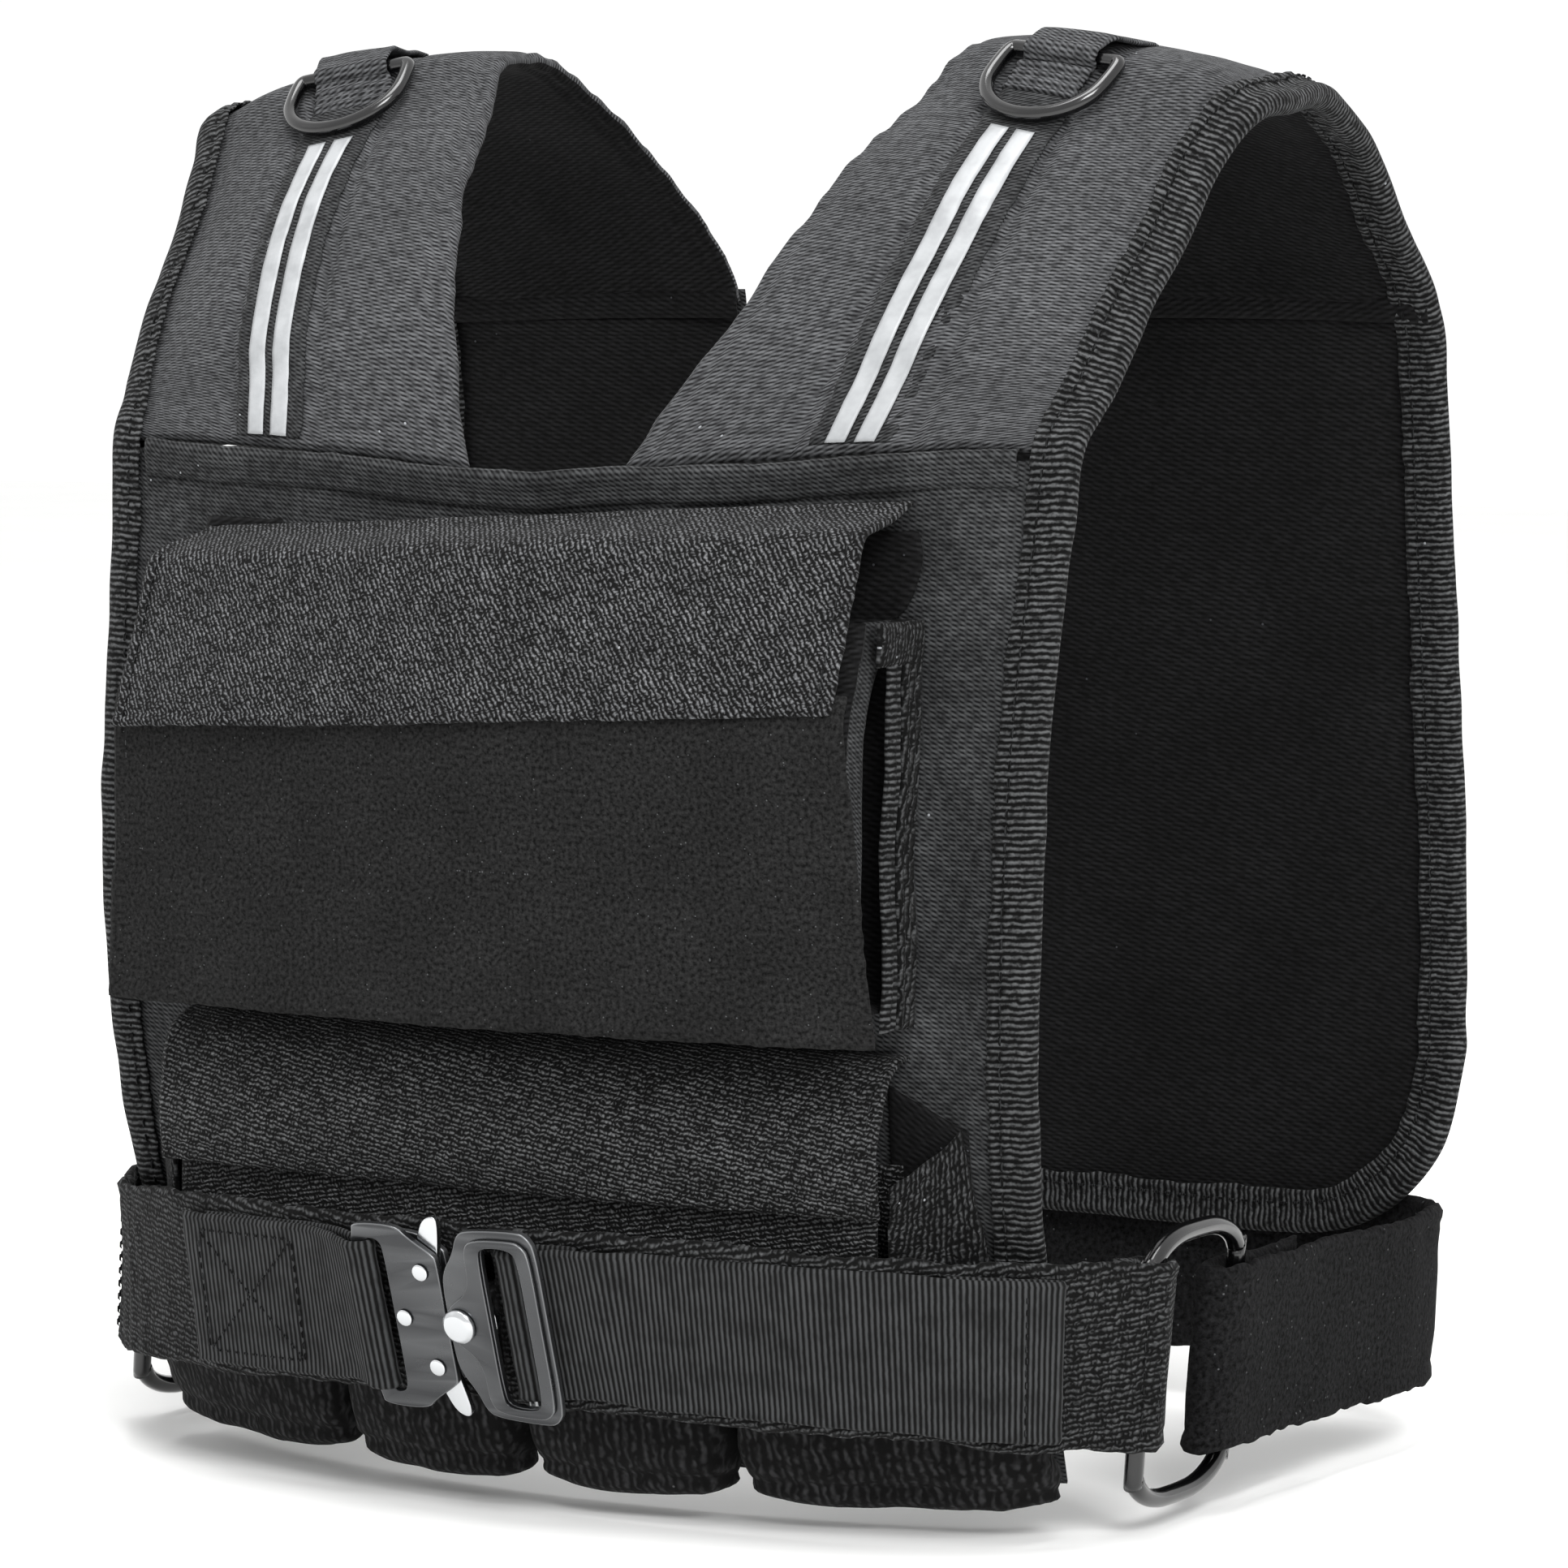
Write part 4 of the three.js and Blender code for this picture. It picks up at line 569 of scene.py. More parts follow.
def onStrap(v, share):
    # Place and outward normal on the strap at row v and share u from the neck to the armhole
    v, share = np.atleast_1d(np.asarray(v, float)), np.atleast_1d(np.asarray(share, float))
    v, share = np.broadcast_arrays(v, share)
    at = lambda a, b: np.einsum("ni,ijk,nj->nk", splineWeights(len(strapRows), a), strapControl,
                                splineWeights(len(strapShares), columnOf(b)))
    last = len(strapRows) - 1
    place = at(v, share)
    normal = unit(np.cross(at(v, np.clip(share + 0.02, 0, 1)) - at(v, np.clip(share - 0.02, 0, 1)),
                           at(np.clip(v + 0.1, 0, last), share) - at(np.clip(v - 0.1, 0, last), share)))
    return place, normal


def strapRelief(across, along, grid):
    width = across.max()
    toNeck, toArm = across, width - across
    rowShare = along / along.max()
    v = rowShare * (len(strapRows) - 1)
    middle = np.interp(bandShare(v), [0, 1], [0, width])
    offBand = np.abs(np.abs(across - middle) - strap["creaseAt"])
    onFront = np.clip((strap["frontTo"] - rowShare) / strap["frontFade"], 0, 1)
    swell = strap["pad"] * np.clip(toNeck / strap["neckFade"], 0, 1)
    swell = swell * np.clip((toArm - strap["armSeam"]) / strap["armFade"], 0, 1)
    swell = swell - (strap["pad"] + strap["bandEdge"]) * bell(offBand, strap["creaseWidth"]) * onFront
    swell = swell - 0.7 * bell(toNeck - strap["neckSeam"], 1.8)
    rise = strap["wrinkle"] * lumps(grid * [1, 1, 0.6], 34, 3) + 0.35 * lumps(grid, 11, 4)
    pucker = np.sin(along / strap["puckerPitch"] + 2 * lumps(grid, 20, 5))
    rise = rise + 0.5 * pucker * bell(toNeck - strap["neckPucker"], strap["neckPucker"])
    return rise * np.clip(toArm / 20, 0.2, 1), swell


for side, flip in bothSides:
    piece = clothPiece(f"shoulder_strap_{side}", flip(strapControl), -clothHalf, clothHalf,
                       [nylon, shadedLiningNylon], step=2.3, relief=strapRelief, facing=(0, 0, 1),
                       ragged=strap["ragged"], fray=7, waver=strap["waver"])
    sew(piece, "woven_nylon", f"strap_{side}")

# Band with two pale stripes down each strap
bandLook = {"lift": clothHalf + 0.9, "from": 0.12, "to": 5.3, "stripe": 6.4, "space": 3.0,
            "stripeTo": 4.55, "edgeCrumple": 0.55}


def stripControl(first, last, offset, width, lift, count, steps=5):
    v = np.linspace(first, last, count)
    inner, _ = onStrap(v, 0.0)
    outer, _ = onStrap(v, 1.0)
    wide = np.linalg.norm(outer - inner, axis=1)
    rows = []
    for share in np.linspace(-0.5, 0.5, steps):
        place, normal = onStrap(v, bandShare(v) + (offset + share * width) / wide)
        rows.append(place + normal * lift)
    return np.stack(rows, 1)


def bandRelief(across, along, grid):
    edge = np.minimum(across, across.max() - across)
    crumple = bandLook["edgeCrumple"] * (np.sin(along / 1.25 + 3 * lumps(grid, 9, 6)) * 0.6
                                         + lumps(grid, 4, 7))
    return crumple * bell(edge, 3.2) + 0.2 * lumps(grid, 14, 8), -0.25 * bell(edge - 4.4, 0.9)


for side, flip in bothSides:
    band = stripControl(bandLook["from"], bandLook["to"], 0, bandSpan["width"], bandLook["lift"] + 0.3, 40)
    piece = clothPiece(f"chest_band_{side}", flip(band), -0.5, 0.6, [panelNylon], step=1.5, relief=bandRelief,
                       facing=(0, -1, 0.4), ragged=0.5, fray=9)
    sew(piece, "woven_nylon", f"shoulder_band_{side}")
    for name, way in (("inner", -1), ("outer", 1)):
        offset = way * (bandLook["stripe"] + bandLook["space"]) / 2
        control = stripControl(bandLook["from"], bandLook["stripeTo"], offset, bandLook["stripe"],
                               bandLook["lift"] + 1.3, 40)
        piece = clothPiece(f"pale_stripe_{name}_{side}", flip(control), -0.25, 0.35, [reflective], step=1.4,
                           relief=lambda a, b, g: (0.22 * lumps(g, 8, 11) + 0.2 * lumps(g, 20, 12), 0.0),
                           facing=(0, -1, 0.4), ragged=0.12, fray=13)
        sew(piece, "reflective_tape", f"stripe_{name}_{side}")
print("straps sewn")

# Front panel
panel = {"half": 176, "drop": 434, "joinGap": 2, "wrinkle": 1.6, "freeAbove": -170, "freeBeside": 132,
         "sideSeam": 18, "fade": 8, "fadeDown": 20}
frontRows = [(1.0, 0.815, 1.0, 0), (0.989, 0.843, 1.02, 0.075), (0.975, 0.907, 1.04, 0.227),
             (0.970, 0.950, 1.05, 0.376), (0.960, 0.944, 1.05, 0.541), (0.949, 0.898, 1.03, 0.683),
             (0.938, 0.824, 1.0, 0.785), (0.926, 0.704, 0.954, 0.895), (0.909, 0.574, 0.898, 1)]
frontTable = np.array(frontRows)
hemEdgeZ = -strap["neckDrop"] * strapRows[0][3]


def hemZ(x):
    return -strap["neckDrop"] + (hemEdgeZ + strap["neckDrop"]) * abs(x) / panel["half"]


def frontShares(edgeX):
    shares = [0, 0.2, 0.4, 0.6, 0.75, 1 - strap["bindingWidth"] / (panel["half"] * edgeX), 1]
    return np.array([-s for s in shares[:0:-1]] + shares)


def frontControlGrid():
    grid = []
    for edgeX, edgeY, middleY, z in frontRows:
        row = []
        for s in frontShares(edgeX):
            x = panel["half"] * edgeX * s
            top = hemZ(x) - panel["joinGap"]
            row.append([x, -strap["frontReach"] * (middleY + (edgeY - middleY) * s * s),
                        top + (-panel["drop"] - top) * z])
        grid.append(row)
    return np.array(grid)


def frontY(x, z):
    # Depth of the panel's middle surface, from the same table
    top = hemZ(x) - panel["joinGap"]
    t = np.clip((top - z) / (top + panel["drop"]), 0, 1)
    edgeX, edgeY, middleY = (np.interp(t, frontTable[:, 3], frontTable[:, k]) for k in range(3))
    s = min(abs(x) / (panel["half"] * edgeX), 1)
    return -strap["frontReach"] * (middleY + (edgeY - middleY) * s * s)


def offFront(x, z, lift):
    slopeX = (frontY(abs(x) + 1, z) - frontY(abs(x) - 1, z)) / 2
    slopeZ = (frontY(x, z + 1) - frontY(x, z - 1)) / 2
    return frontY(x, z) - lift * hypot(hypot(1, slopeX), slopeZ)


def frontRelief(across, along, grid):
    side = np.minimum(across, across.max() - across)
    above = np.clip((grid[..., 2] - panel["freeAbove"]) / panel["fadeDown"], 0, 1)
    beside = np.clip((np.abs(grid[..., 0]) - panel["freeBeside"]) / panel["fade"], 0, 1)
    free = np.clip(above + beside, 0, 1) * np.clip((side - panel["sideSeam"]) / panel["fade"], 0, 1)
    folds = lumps(grid * [1.6, 1, 0.5], 40, 14) * 0.8 + 0.5 * lumps(grid, 16, 15)
    return panel["wrinkle"] * folds * free + 0.25 * lumps(grid, 9, 16) * free, 0.0 * side


frontControl = frontControlGrid()
piece = clothPiece("chest_panel", frontControl, -clothHalf, clothHalf, [panelNylon, shadedLiningNylon], step=2.6,
                   relief=frontRelief, facing=(0, -1, 0))
sew(piece, "woven_nylon", "front_panel")

# Back panel, with the yoke seam that joins it to the straps
backLook = {"half": 198, "drop": 384, "corner": 60, "wrinkle": 1.8, "seam": 16, "fade": 14}
backRows = [(0.985, 0.818, 0.867, 0), (0.990, 0.853, 0.888, 0.06), (0.995, 0.902, 0.937, 0.31),
            (1.0, 0.951, 0.972, 0.57), (1.0, 0.96, 0.979, 0.75)]
backLow = (0.95, 0.979)
cornerSteps = 3


def backTable():
    top = -strap["yokeDrop"] - panel["joinGap"]
    rows = [(backLook["half"] * x, strap["backReach"] * e, strap["backReach"] * m,
             top + (-backLook["drop"] - top) * z)
            for x, e, m, z in backRows]
    for i in range(cornerSteps + 1):
        turn = i / cornerSteps * pi / 2
        rows.append((backLook["half"] - backLook["corner"] * (1 - cos(turn)), strap["backReach"] * backLow[0],
                     strap["backReach"] * backLow[1],
                     -backLook["drop"] + backLook["corner"] * (1 - sin(turn))))
    return np.array(rows)


backStations = backTable()


def backY(x, z):
    edge = np.interp(-z, -backStations[:, 3], backStations[:, 1])
    middle = np.interp(-z, -backStations[:, 3], backStations[:, 2])
    return middle + (edge - middle) * min(abs(x) / backLook["half"], 1) ** 3


backShares = [0, 0.3, 0.55, 0.77, 0.908, 1]
backControl = np.array([[[row[0] * s, backY(row[0] * s, row[3]), row[3]]
                         for s in [-s for s in backShares[:0:-1]] + backShares] for row in backStations])


def backRelief(across, along, grid):
    side = np.minimum(across, across.max() - across)
    low = along.max() - along
    inside = (np.clip((side - backLook["seam"]) / backLook["fade"], 0, 1)
              * np.clip((low - backLook["seam"]) / backLook["fade"], 0, 1))
    drape = lumps(grid * [1.5, 1, 0.35], 46, 17) + 0.4 * lumps(grid, 18, 18)
    return backLook["wrinkle"] * drape * inside, 0.0 * side


piece = clothPiece("back_lining_panel", backControl, -clothHalf, clothHalf, [panelNylon, shadedLiningNylon],
                   step=2.9, relief=backRelief, facing=(0, 1, 0))
sew(piece, "lining", "back_panel")
yokeShape = {"lift": (0.4, 0.9, 1.1, 0.9, 0.4), "drop": (-5.0, -2.4, 0.0, 2.4, 5.0), "stand": 2.4,
             "tilt": 0.105}
for side, (way, slotMaterial) in {"inner": (-1, shadedLiningNylon), "outer": (1, panelNylon)}.items():
    for hand, flip in bothSides:
        line = strapControl[-1]
        shares = np.linspace(0, len(line) - 1, 30)
        middle = np.einsum("ni,ik->nk", splineWeights(len(line), shares), line)
        rows = []
        for lift, drop in zip(yokeShape["lift"], yokeShape["drop"]):
            rise = way * (yokeShape["stand"] + lift) - yokeShape["tilt"] * drop
            rows.append(middle + np.array([0, rise, drop - panel["joinGap"] / 2]))
        piece = clothPiece(f"yoke_seam_{side}_{hand}", flip(np.array(rows)), -0.6, 0.6, [slotMaterial],
                           step=2.0, relief=lambda a, b, g: (0.35 * lumps(g, 7, 19),
                                                             -0.3 * bell(b - b.max() / 2, 1.2)),
                           facing=(0, way, 0))
        sew(piece, "woven_nylon")
print("panels sewn")

# Armhole binding: folded tape round the edge of the chest panel, the strap and the back panel
bindingLook = {"width": 13, "wall": 1.3, "gap": 0.7, "under": 0.8, "endRow": 6, "pucker": 1.0,
               "puckerPitch": 7.5, "stitchIn": 3.2, "round": 34, "seamSteps": 420}


def edgeStations():
    stations = []
    frontNormals = gridNormals(frontControl)
    if frontNormals[2, 5, 1] > 0:
        frontNormals = -frontNormals
    for r in range(bindingLook["endRow"], 0, -1):
        edge, inner = frontControl[r, -1], frontControl[r, -2]
        inner = edge + unit(inner - edge) * bindingLook["width"]
        stations.append((edge, inner, frontNormals[r, -1], frontNormals[r, -2]))
    for r in range(len(strapRows)):
        edge = outerEdge[r]
        wide = np.linalg.norm(outerEdge[r] - innerEdge[r])
        share = 1 - bindingLook["width"] / wide
        inner, innerNormal = (part[0] for part in onStrap(r, share))
        _, edgeNormal = (part[0] for part in onStrap(r, 1.0))
        stations.append((edge, inner, edgeNormal, innerNormal))
    for i, row in enumerate(backStations):
        if i:
            turn = max(0, i - len(backRows)) / cornerSteps * pi / 2
            stations.append(backEdge(row[0], row[3], (-cos(turn), sin(turn))))
    flat = backLook["half"] - backLook["corner"]
    for share in (0.5, 0.0):
        stations.append(backEdge(flat * share + 0.2, -backLook["drop"], (0.0, 1.0)))
    return stations


def backEdge(x, z, inward):
    place = lambda px, pz: np.array([px, backY(px, pz), pz])
    edge = place(x, z)
    inner = place(x + inward[0] * bindingLook["width"], z + inward[1] * bindingLook["width"])
    side = place(x + inward[1], z - inward[0]) - edge
    normal = unit(np.cross(inner - edge, side))
    normal = normal if normal[1] > 0 else -normal
    return edge, inner, normal, normal


def bindingControl():
    clear = clothHalf + bindingLook["gap"]
    full = clear + bindingLook["wall"] / 2
    rows = []
    for edge, inner, edgeNormal, innerNormal in edgeStations():
        out = unit(edge - inner)
        tip = bindingLook["gap"] + bindingLook["wall"] / 2
        middle, middleNormal = (edge + inner) / 2, unit(edgeNormal + innerNormal)
        under = full + bindingLook["under"]
        rows.append([
            inner + innerNormal * full, middle + middleNormal * full, edge - out * 1.5 + edgeNormal * full,
            edge + out * tip * 0.8 + edgeNormal * clear * 0.5,
            edge + out * tip * 0.8 - edgeNormal * clear * 0.5, edge - out * 1.5 - edgeNormal * under,
            middle - middleNormal * under, inner - innerNormal * under,
        ])
    return np.array(rows)


def bindingRelief(across, along, grid):
    fold = across.max() / 2
    edge = np.minimum(across, across.max() - across)
    onFace = np.clip((np.abs(across - fold) - 2.0) / 3, 0, 1)
    waves = np.sin(along * 2 * pi / bindingLook["puckerPitch"] + 2.6 * lumps(grid, 26, 21))
    pucker = bindingLook["pucker"] * waves * bell(edge - bindingLook["stitchIn"], 4.0) * 0.6
    bulge = 0.45 * lumps(grid, 13, 22) + 0.7 * bell(edge - 7.5, 3.2) * onFace
    return pucker + bulge, -0.5 * bell(edge - bindingLook["stitchIn"], 0.9)


binding = bindingControl()
edgeNormals = np.array([station[3] for station in edgeStations()])
for side, flip in bothSides:
    piece = clothPiece(f"armhole_tape_{side}", flip(binding), -bindingLook["wall"] / 2,
                       bindingLook["wall"] / 2, [tape], step=1.7, relief=bindingRelief, ragged=0.6, fray=23,
                       waver=0.9)
    sew(piece, "binding_tape", f"armhole_binding_{side}")
    lines = []
    for share, sign in ((bindingLook["stitchIn"] / bindingLook["round"], 1),
                        (1 - bindingLook["stitchIn"] / bindingLook["round"], -1)):
        line, normal = seamOn(flip(binding), 0.0, (0.0, share), (1.0, share), (0, -1, 0),
                              bindingLook["seamSteps"])
        rows = np.linspace(0, len(edgeNormals) - 1, bindingLook["seamSteps"])
        hint = flip(np.einsum("ni,ik->nk", splineWeights(len(edgeNormals), rows), edgeNormals * sign))
        normal = np.where((normal * hint).sum(1, keepdims=True) < 0, -normal, normal)
        lines.append((line + normal * 0.75, normal))
    sew(stitchPiece(f"armhole_stitches_{side}", lines, stitch=3.2, gap=1.6, width=0.9, height=0.4),
        "binding_tape")

# Neckline hem: a soft rolled strip over the join of the straps and the chest panel
hemLook = {"thickness": 1.6, "sag": 0.5, "curl": 1.4, "curlAt": -4, "curlHalf": 30}


def hemControl():
    end = panel["half"] - strap["bindingWidth"] + 2
    rows = []
    for drop, lift in ((1.6, 3.0), (0.6, 4.2), (-1.6, 4.6), (-4.4, 4.0), (-7.2, 3.5), (-9.6, 3.0)):
        row = []
        for x in np.linspace(-end, end, 27):
            z = hemZ(x) + drop + hemLook["sag"] * sin(x / 17)
            row.append([x, frontY(x, min(z, hemZ(x))) - lift, z])
        rows.append(row)
    return np.array(rows)


def hemRelief(across, along, grid):
    middle = bell(grid[..., 0] - hemLook["curlAt"], hemLook["curlHalf"])
    curl = hemLook["curl"] * middle * bell(along - 2.0, 2.4)
    return 0.5 * lumps(grid, 12, 24) + 0.25 * lumps(grid, 5, 25) + curl, -0.3 * bell(along - 8.2, 1.0)


piece = clothPiece("neckline_roll", hemControl(), -hemLook["thickness"] / 2, hemLook["thickness"] / 2,
                   [panelNylon], step=1.5, relief=hemRelief, facing=(0, -1, 0), ragged=0.3, fray=26)
sew(piece, "woven_nylon", "neckline_hem")
print("bindings sewn")

# Upper pouch: open sleeve, fleece face panel, loop flap and a T-shaped tab on each side
pouch = {"half": 130, "top": 150, "height": 136, "depth": 37, "mouth": 21, "wall": 2.4, "bulge": 13,
         "flap": 3, "flapDrop": 53, "flapTilt": 6, "face": 3.2, "faceTop": 192, "faceHeight": 103,
         "faceHalfTop": 131, "faceHalfBottom": 139}
wallTable = np.array([(-0.1, 0.309), (0.39, 1.0), (1.1, 0.77)])
flapTable = np.array([(-0.1, 0.309), (1.1, 2.0)])
upperBase = offFront(pouch["half"], -pouch["top"] - pouch["height"] / 2, clothHalf + seamGap)


def bulgeAt(x, bulge, halfWidth):
    return bulge * max(0, 1 - (x / halfWidth) ** 2)


def upperY(table, x, z):
    out = np.interp((-z - pouch["top"]) / pouch["height"], table[:, 0], table[:, 1])
    return upperBase - pouch["depth"] * out - bulgeAt(x, pouch["bulge"], pouch["half"])


def columnsAcross(half, count=9):
    return np.linspace(-half, half, count)


def sleeveControl(top, bottom, half, wallY):
    back = clothHalf + seamGap * 1.5 + pouch["wall"] / 2
    height = lambda share: -(top + (bottom - top) * share)
    profile = [(0, height(s)) for s in (0, 0.2, 0.4, 0.6, 0.8, 0.93)]
    profile += [(0.12, height(1)), (0.5, height(1)), (0.88, height(1))]
    profile += [(1, height(s)) for s in (0.93, 0.7, 0.35, 0)]
    rows = []
    for out, z in profile:
        rows.append([[x, (1 - out) * offFront(x, z, back) + out * wallY(x, z), z]
                     for x in columnsAcross(half)])
    return np.array(rows)


def softRelief(size, deep, seed):
    # Gentle dents of that size and depth, with finer ones over them
    fine = 0.3 * deep
    return lambda across, along, grid: (deep * lumps(grid, size, seed) + fine * lumps(grid, 6, seed + 1), 0.0)


upperControl = sleeveControl(pouch["top"] + pouch["mouth"], pouch["top"] + pouch["height"], pouch["half"],
                             lambda x, z: upperY(wallTable, x, z))
piece = clothPiece("upper_pouch_sleeve", upperControl, -pouch["wall"] / 2, pouch["wall"] / 2, [shadedLiningNylon],
                   step=3.2, relief=softRelief(24, 0.5, 30), ragged=0.3)
sew(piece, "lining", "upper_pouch")

faceLift = pouch["wall"] / 2 + seamGap + pouch["face"] / 2
faceRows = [(0.3, 0), (0.2, 0.11), (0.4, 0.4), (0.6, 0.7), (1.0, 1)]
faceControl = []
for out, share in faceRows:
    z = -pouch["faceTop"] - pouch["faceHeight"] * share
    halfWidth = pouch["faceHalfTop"] + (pouch["faceHalfBottom"] - pouch["faceHalfTop"]) * share
    faceControl.append([[x, upperY(wallTable, x, z) - faceLift * 1.08 - out, z]
                        for x in columnsAcross(halfWidth)])
faceControl = np.array(faceControl)
faceLook = {"seamHeight": 0.615, "hem": 5.5, "wrinkle": 0.8, "ledge": 1.3, "hemEdge": 1.5, "ledgeSoft": 0.7,
            "clothLength": 105}


def faceRelief(across, along, grid):
    seam = along.max() * faceLook["seamHeight"]
    side = np.minimum(across, across.max() - across)
    rise = faceLook["wrinkle"] * lumps(grid, 38, 31) + 0.25 * lumps(grid, 9, 32)
    low = along.max() - along
    rise = rise + 0.9 * np.sin(across / 9 + 3 * lumps(grid, 30, 33)) * bell(low, 7)
    step = lambda distance: 1 / (1 + np.exp(-np.clip(distance / faceLook["ledgeSoft"], -30, 30)))
    hemWide = faceLook["hem"] + faceLook["hemEdge"]
    doubled = step(hemWide - low) + step(hemWide - side)
    rise = rise + faceLook["ledge"] * (step(along - seam) + 0.7 * np.minimum(doubled, 1))
    hemDepth = bell(low - faceLook["hem"], 1.1) + bell(side - faceLook["hem"], 1.1)
    return rise, -0.9 * (bell(along - seam + 1.2, 1.0) + hemDepth)


piece = clothPiece("pouch_face_fleece", faceControl, -pouch["face"] / 2, pouch["face"] / 2, [fleece],
                   step=2.0, relief=faceRelief, facing=(0, -1, 0), ragged=0.4, fray=34)
sew(piece, "fleece", "pouch_front_panel")
hemShare = faceLook["hem"] / faceLook["clothLength"]
faceOut = pouch["face"] / 2 - 0.85
faceSeams = (((faceLook["seamHeight"], 0.02), (faceLook["seamHeight"], 0.98)),
             ((1 - hemShare, 0.02), (1 - hemShare, 0.98)), ((0.02, 0.02), (1 - hemShare, 0.02)),
             ((0.02, 0.98), (1 - hemShare, 0.98)))
lines = [seamOn(faceControl, faceOut, start, end, (0, -1, 0)) for start, end in faceSeams]
faceStitches = stitchPiece("pouch_face_stitches", lines, 2.8, 1.2, 0.8, 0.45)
faceStitches.data.materials[0] = paleThreadSeamHighlight
sew(faceStitches, "fleece")

# Turned edge of the face, seen from the side beside the tab
turnLook = {"deep": 19, "shallow": 6, "inset": 2.2, "thickness": 1.8}
turnControl = []
for share in np.linspace(0, 1, 10):
    z = -pouch["top"] - pouch["mouth"] - (pouch["height"] - pouch["mouth"] - 6) * share
    front = upperY(wallTable, pouch["half"], z) + pouch["wall"] * 0.6
    deep = turnLook["deep"] + (turnLook["shallow"] - turnLook["deep"]) * share
    turnControl.append([[pouch["half"] - turnLook["inset"] - 1.5 * s, front + deep * s, z]
                        for s in np.linspace(0, 1, 5)])
for side, flip in bothSides:
    piece = clothPiece(f"pouch_turned_edge_{side}", flip(np.array(turnControl)), -turnLook["thickness"] / 2,
                       turnLook["thickness"] / 2, [panelNylon], step=1.8, relief=softRelief(14, 0.5, 61),
                       facing=(1 if side == "left" else -1, 0, 0), ragged=0.3, fray=62)
    sew(piece, "woven_nylon")

flapHalf = pouch["half"] - 1.5
flapLift = faceLift + pouch["face"] / 2 + seamGap + pouch["flap"] / 2
flapRows = [(0, -0.14), (0.3, -0.075), (0.72, -0.025), (0.95, 0.02), (1, 0.12), (1, 0.5), (1, 0.85), (1, 1)]
flapControl = []
for out, share in flapRows:
    row = []
    for x in columnsAcross(flapHalf, 11):
        z = -pouch["top"] - pouch["flapDrop"] * share + pouch["flapTilt"] * x / flapHalf
        back = offFront(x, z, clothHalf + seamGap + pouch["flap"] / 2)
        row.append([x, back + (upperY(flapTable, x, z) - flapLift * 1.12 - back) * out, z])
    flapControl.append(row)
flapControl = np.array(flapControl)
flapLook = {"wrinkle": 0.9, "hem": 4.0}


def flapRelief(across, along, grid):
    low, side = along.max() - along, np.minimum(across, across.max() - across)
    rise = flapLook["wrinkle"] * lumps(grid, 30, 35) + 0.35 * lumps(grid, 8, 36)
    rise = rise + 0.7 * bell(low, 3.0) + 0.5 * bell(side, 2.4)
    piping = 0.9 * bell(side, 1.8) * np.clip(along / 25 - 0.5, 0, 1)
    return rise * np.clip(along / 12, 0.2, 1), piping - 0.7 * (bell(low - flapLook["hem"], 1.0)
                                                               + bell(side - 4.5, 1.0))


piece = clothPiece("pouch_flap_loop", flapControl, -pouch["flap"] / 2, pouch["flap"] / 2, [loopNylon],
                   step=1.9, relief=flapRelief, facing=(0, -1, 0.5), ragged=0.5, fray=37)
sew(piece, "loop_cloth", "pouch_flap")
flapOut = pouch["flap"] / 2 - 0.4
flapSeams = (((0.955, 0.015), (0.955, 0.985)), ((0.4, 0.017), (0.955, 0.017)), ((0.4, 0.983), (0.955, 0.983)))
lines = [seamOn(flapControl, flapOut, start, end, (0, -1, 0)) for start, end in flapSeams]
sew(stitchPiece("pouch_flap_stitches", lines, 2.8, 1.5, 0.7, 0.35), "loop_cloth")

# Painted shadow: a near-black sheet of lining laid on the panel where the upper pouch's mouth shows dark past
# the end of the flap
upperMouthShadowLook = {"inner": 98, "outer": 132, "top": 145, "bottom": 174, "lift": 1.1, "curve": 20.0}
upperMouthShadowRows = []
for z in np.linspace(upperMouthShadowLook["top"], upperMouthShadowLook["bottom"], 6):
    down = (z - upperMouthShadowLook["top"]) / (upperMouthShadowLook["bottom"] - upperMouthShadowLook["top"])
    outer = upperMouthShadowLook["outer"] - upperMouthShadowLook["curve"] * (down - 0.3) ** 2
    upperMouthShadowRows.append([[x, offFront(x, -z, clothHalf + upperMouthShadowLook["lift"]), -z]
                      for x in np.linspace(upperMouthShadowLook["inner"], outer, 7)])
for side, flip in bothSides:
    piece = clothPiece(f"upper_mouth_painted_shadow_{side}", flip(np.array(upperMouthShadowRows)), -0.5, 0.5, [shadedLiningNylon],
                       step=1.8, relief=softRelief(14, 0.2, 58), facing=(0, -1, 0), ragged=0.5, fray=63)
    sew(piece, "lining")

# Side tab: a bar from the panel to the face of the pouch, and a layered strip down beside it
tab = {"thickness": 3, "bar": 13, "strip": 19, "drop": 21, "overhang": 6, "pliesPitch": 3.6}
tabX = pouch["half"] + seamGap * 3 + tab["thickness"] / 2
tabTop = -pouch["top"] - tab["drop"]
tabBottom = -pouch["top"] - pouch["height"] - tab["overhang"]
tabBack = lambda z: offFront(tabX, z, clothHalf + seamGap * 2.2)
tabFace = upperY(wallTable, pouch["half"], tabTop) + pouch["wall"]
barControl = np.array([[[tabX, tabBack(tabTop) + (tabFace - tabBack(tabTop)) * s, z]
                        for s in np.linspace(0, 1, 7)]
                       for z in np.linspace(tabTop, tabTop - tab["bar"], 5)])
stripRows = np.linspace(tabTop - 2, tabBottom, 12)


def stripControlGrid(inset, wide, out):
    return np.array([[[tabX + out + 0.5 * sin(z / 9), tabBack(z) - inset - wide * s, z]
                      for s in np.linspace(0, 1, 5)] for z in stripRows])


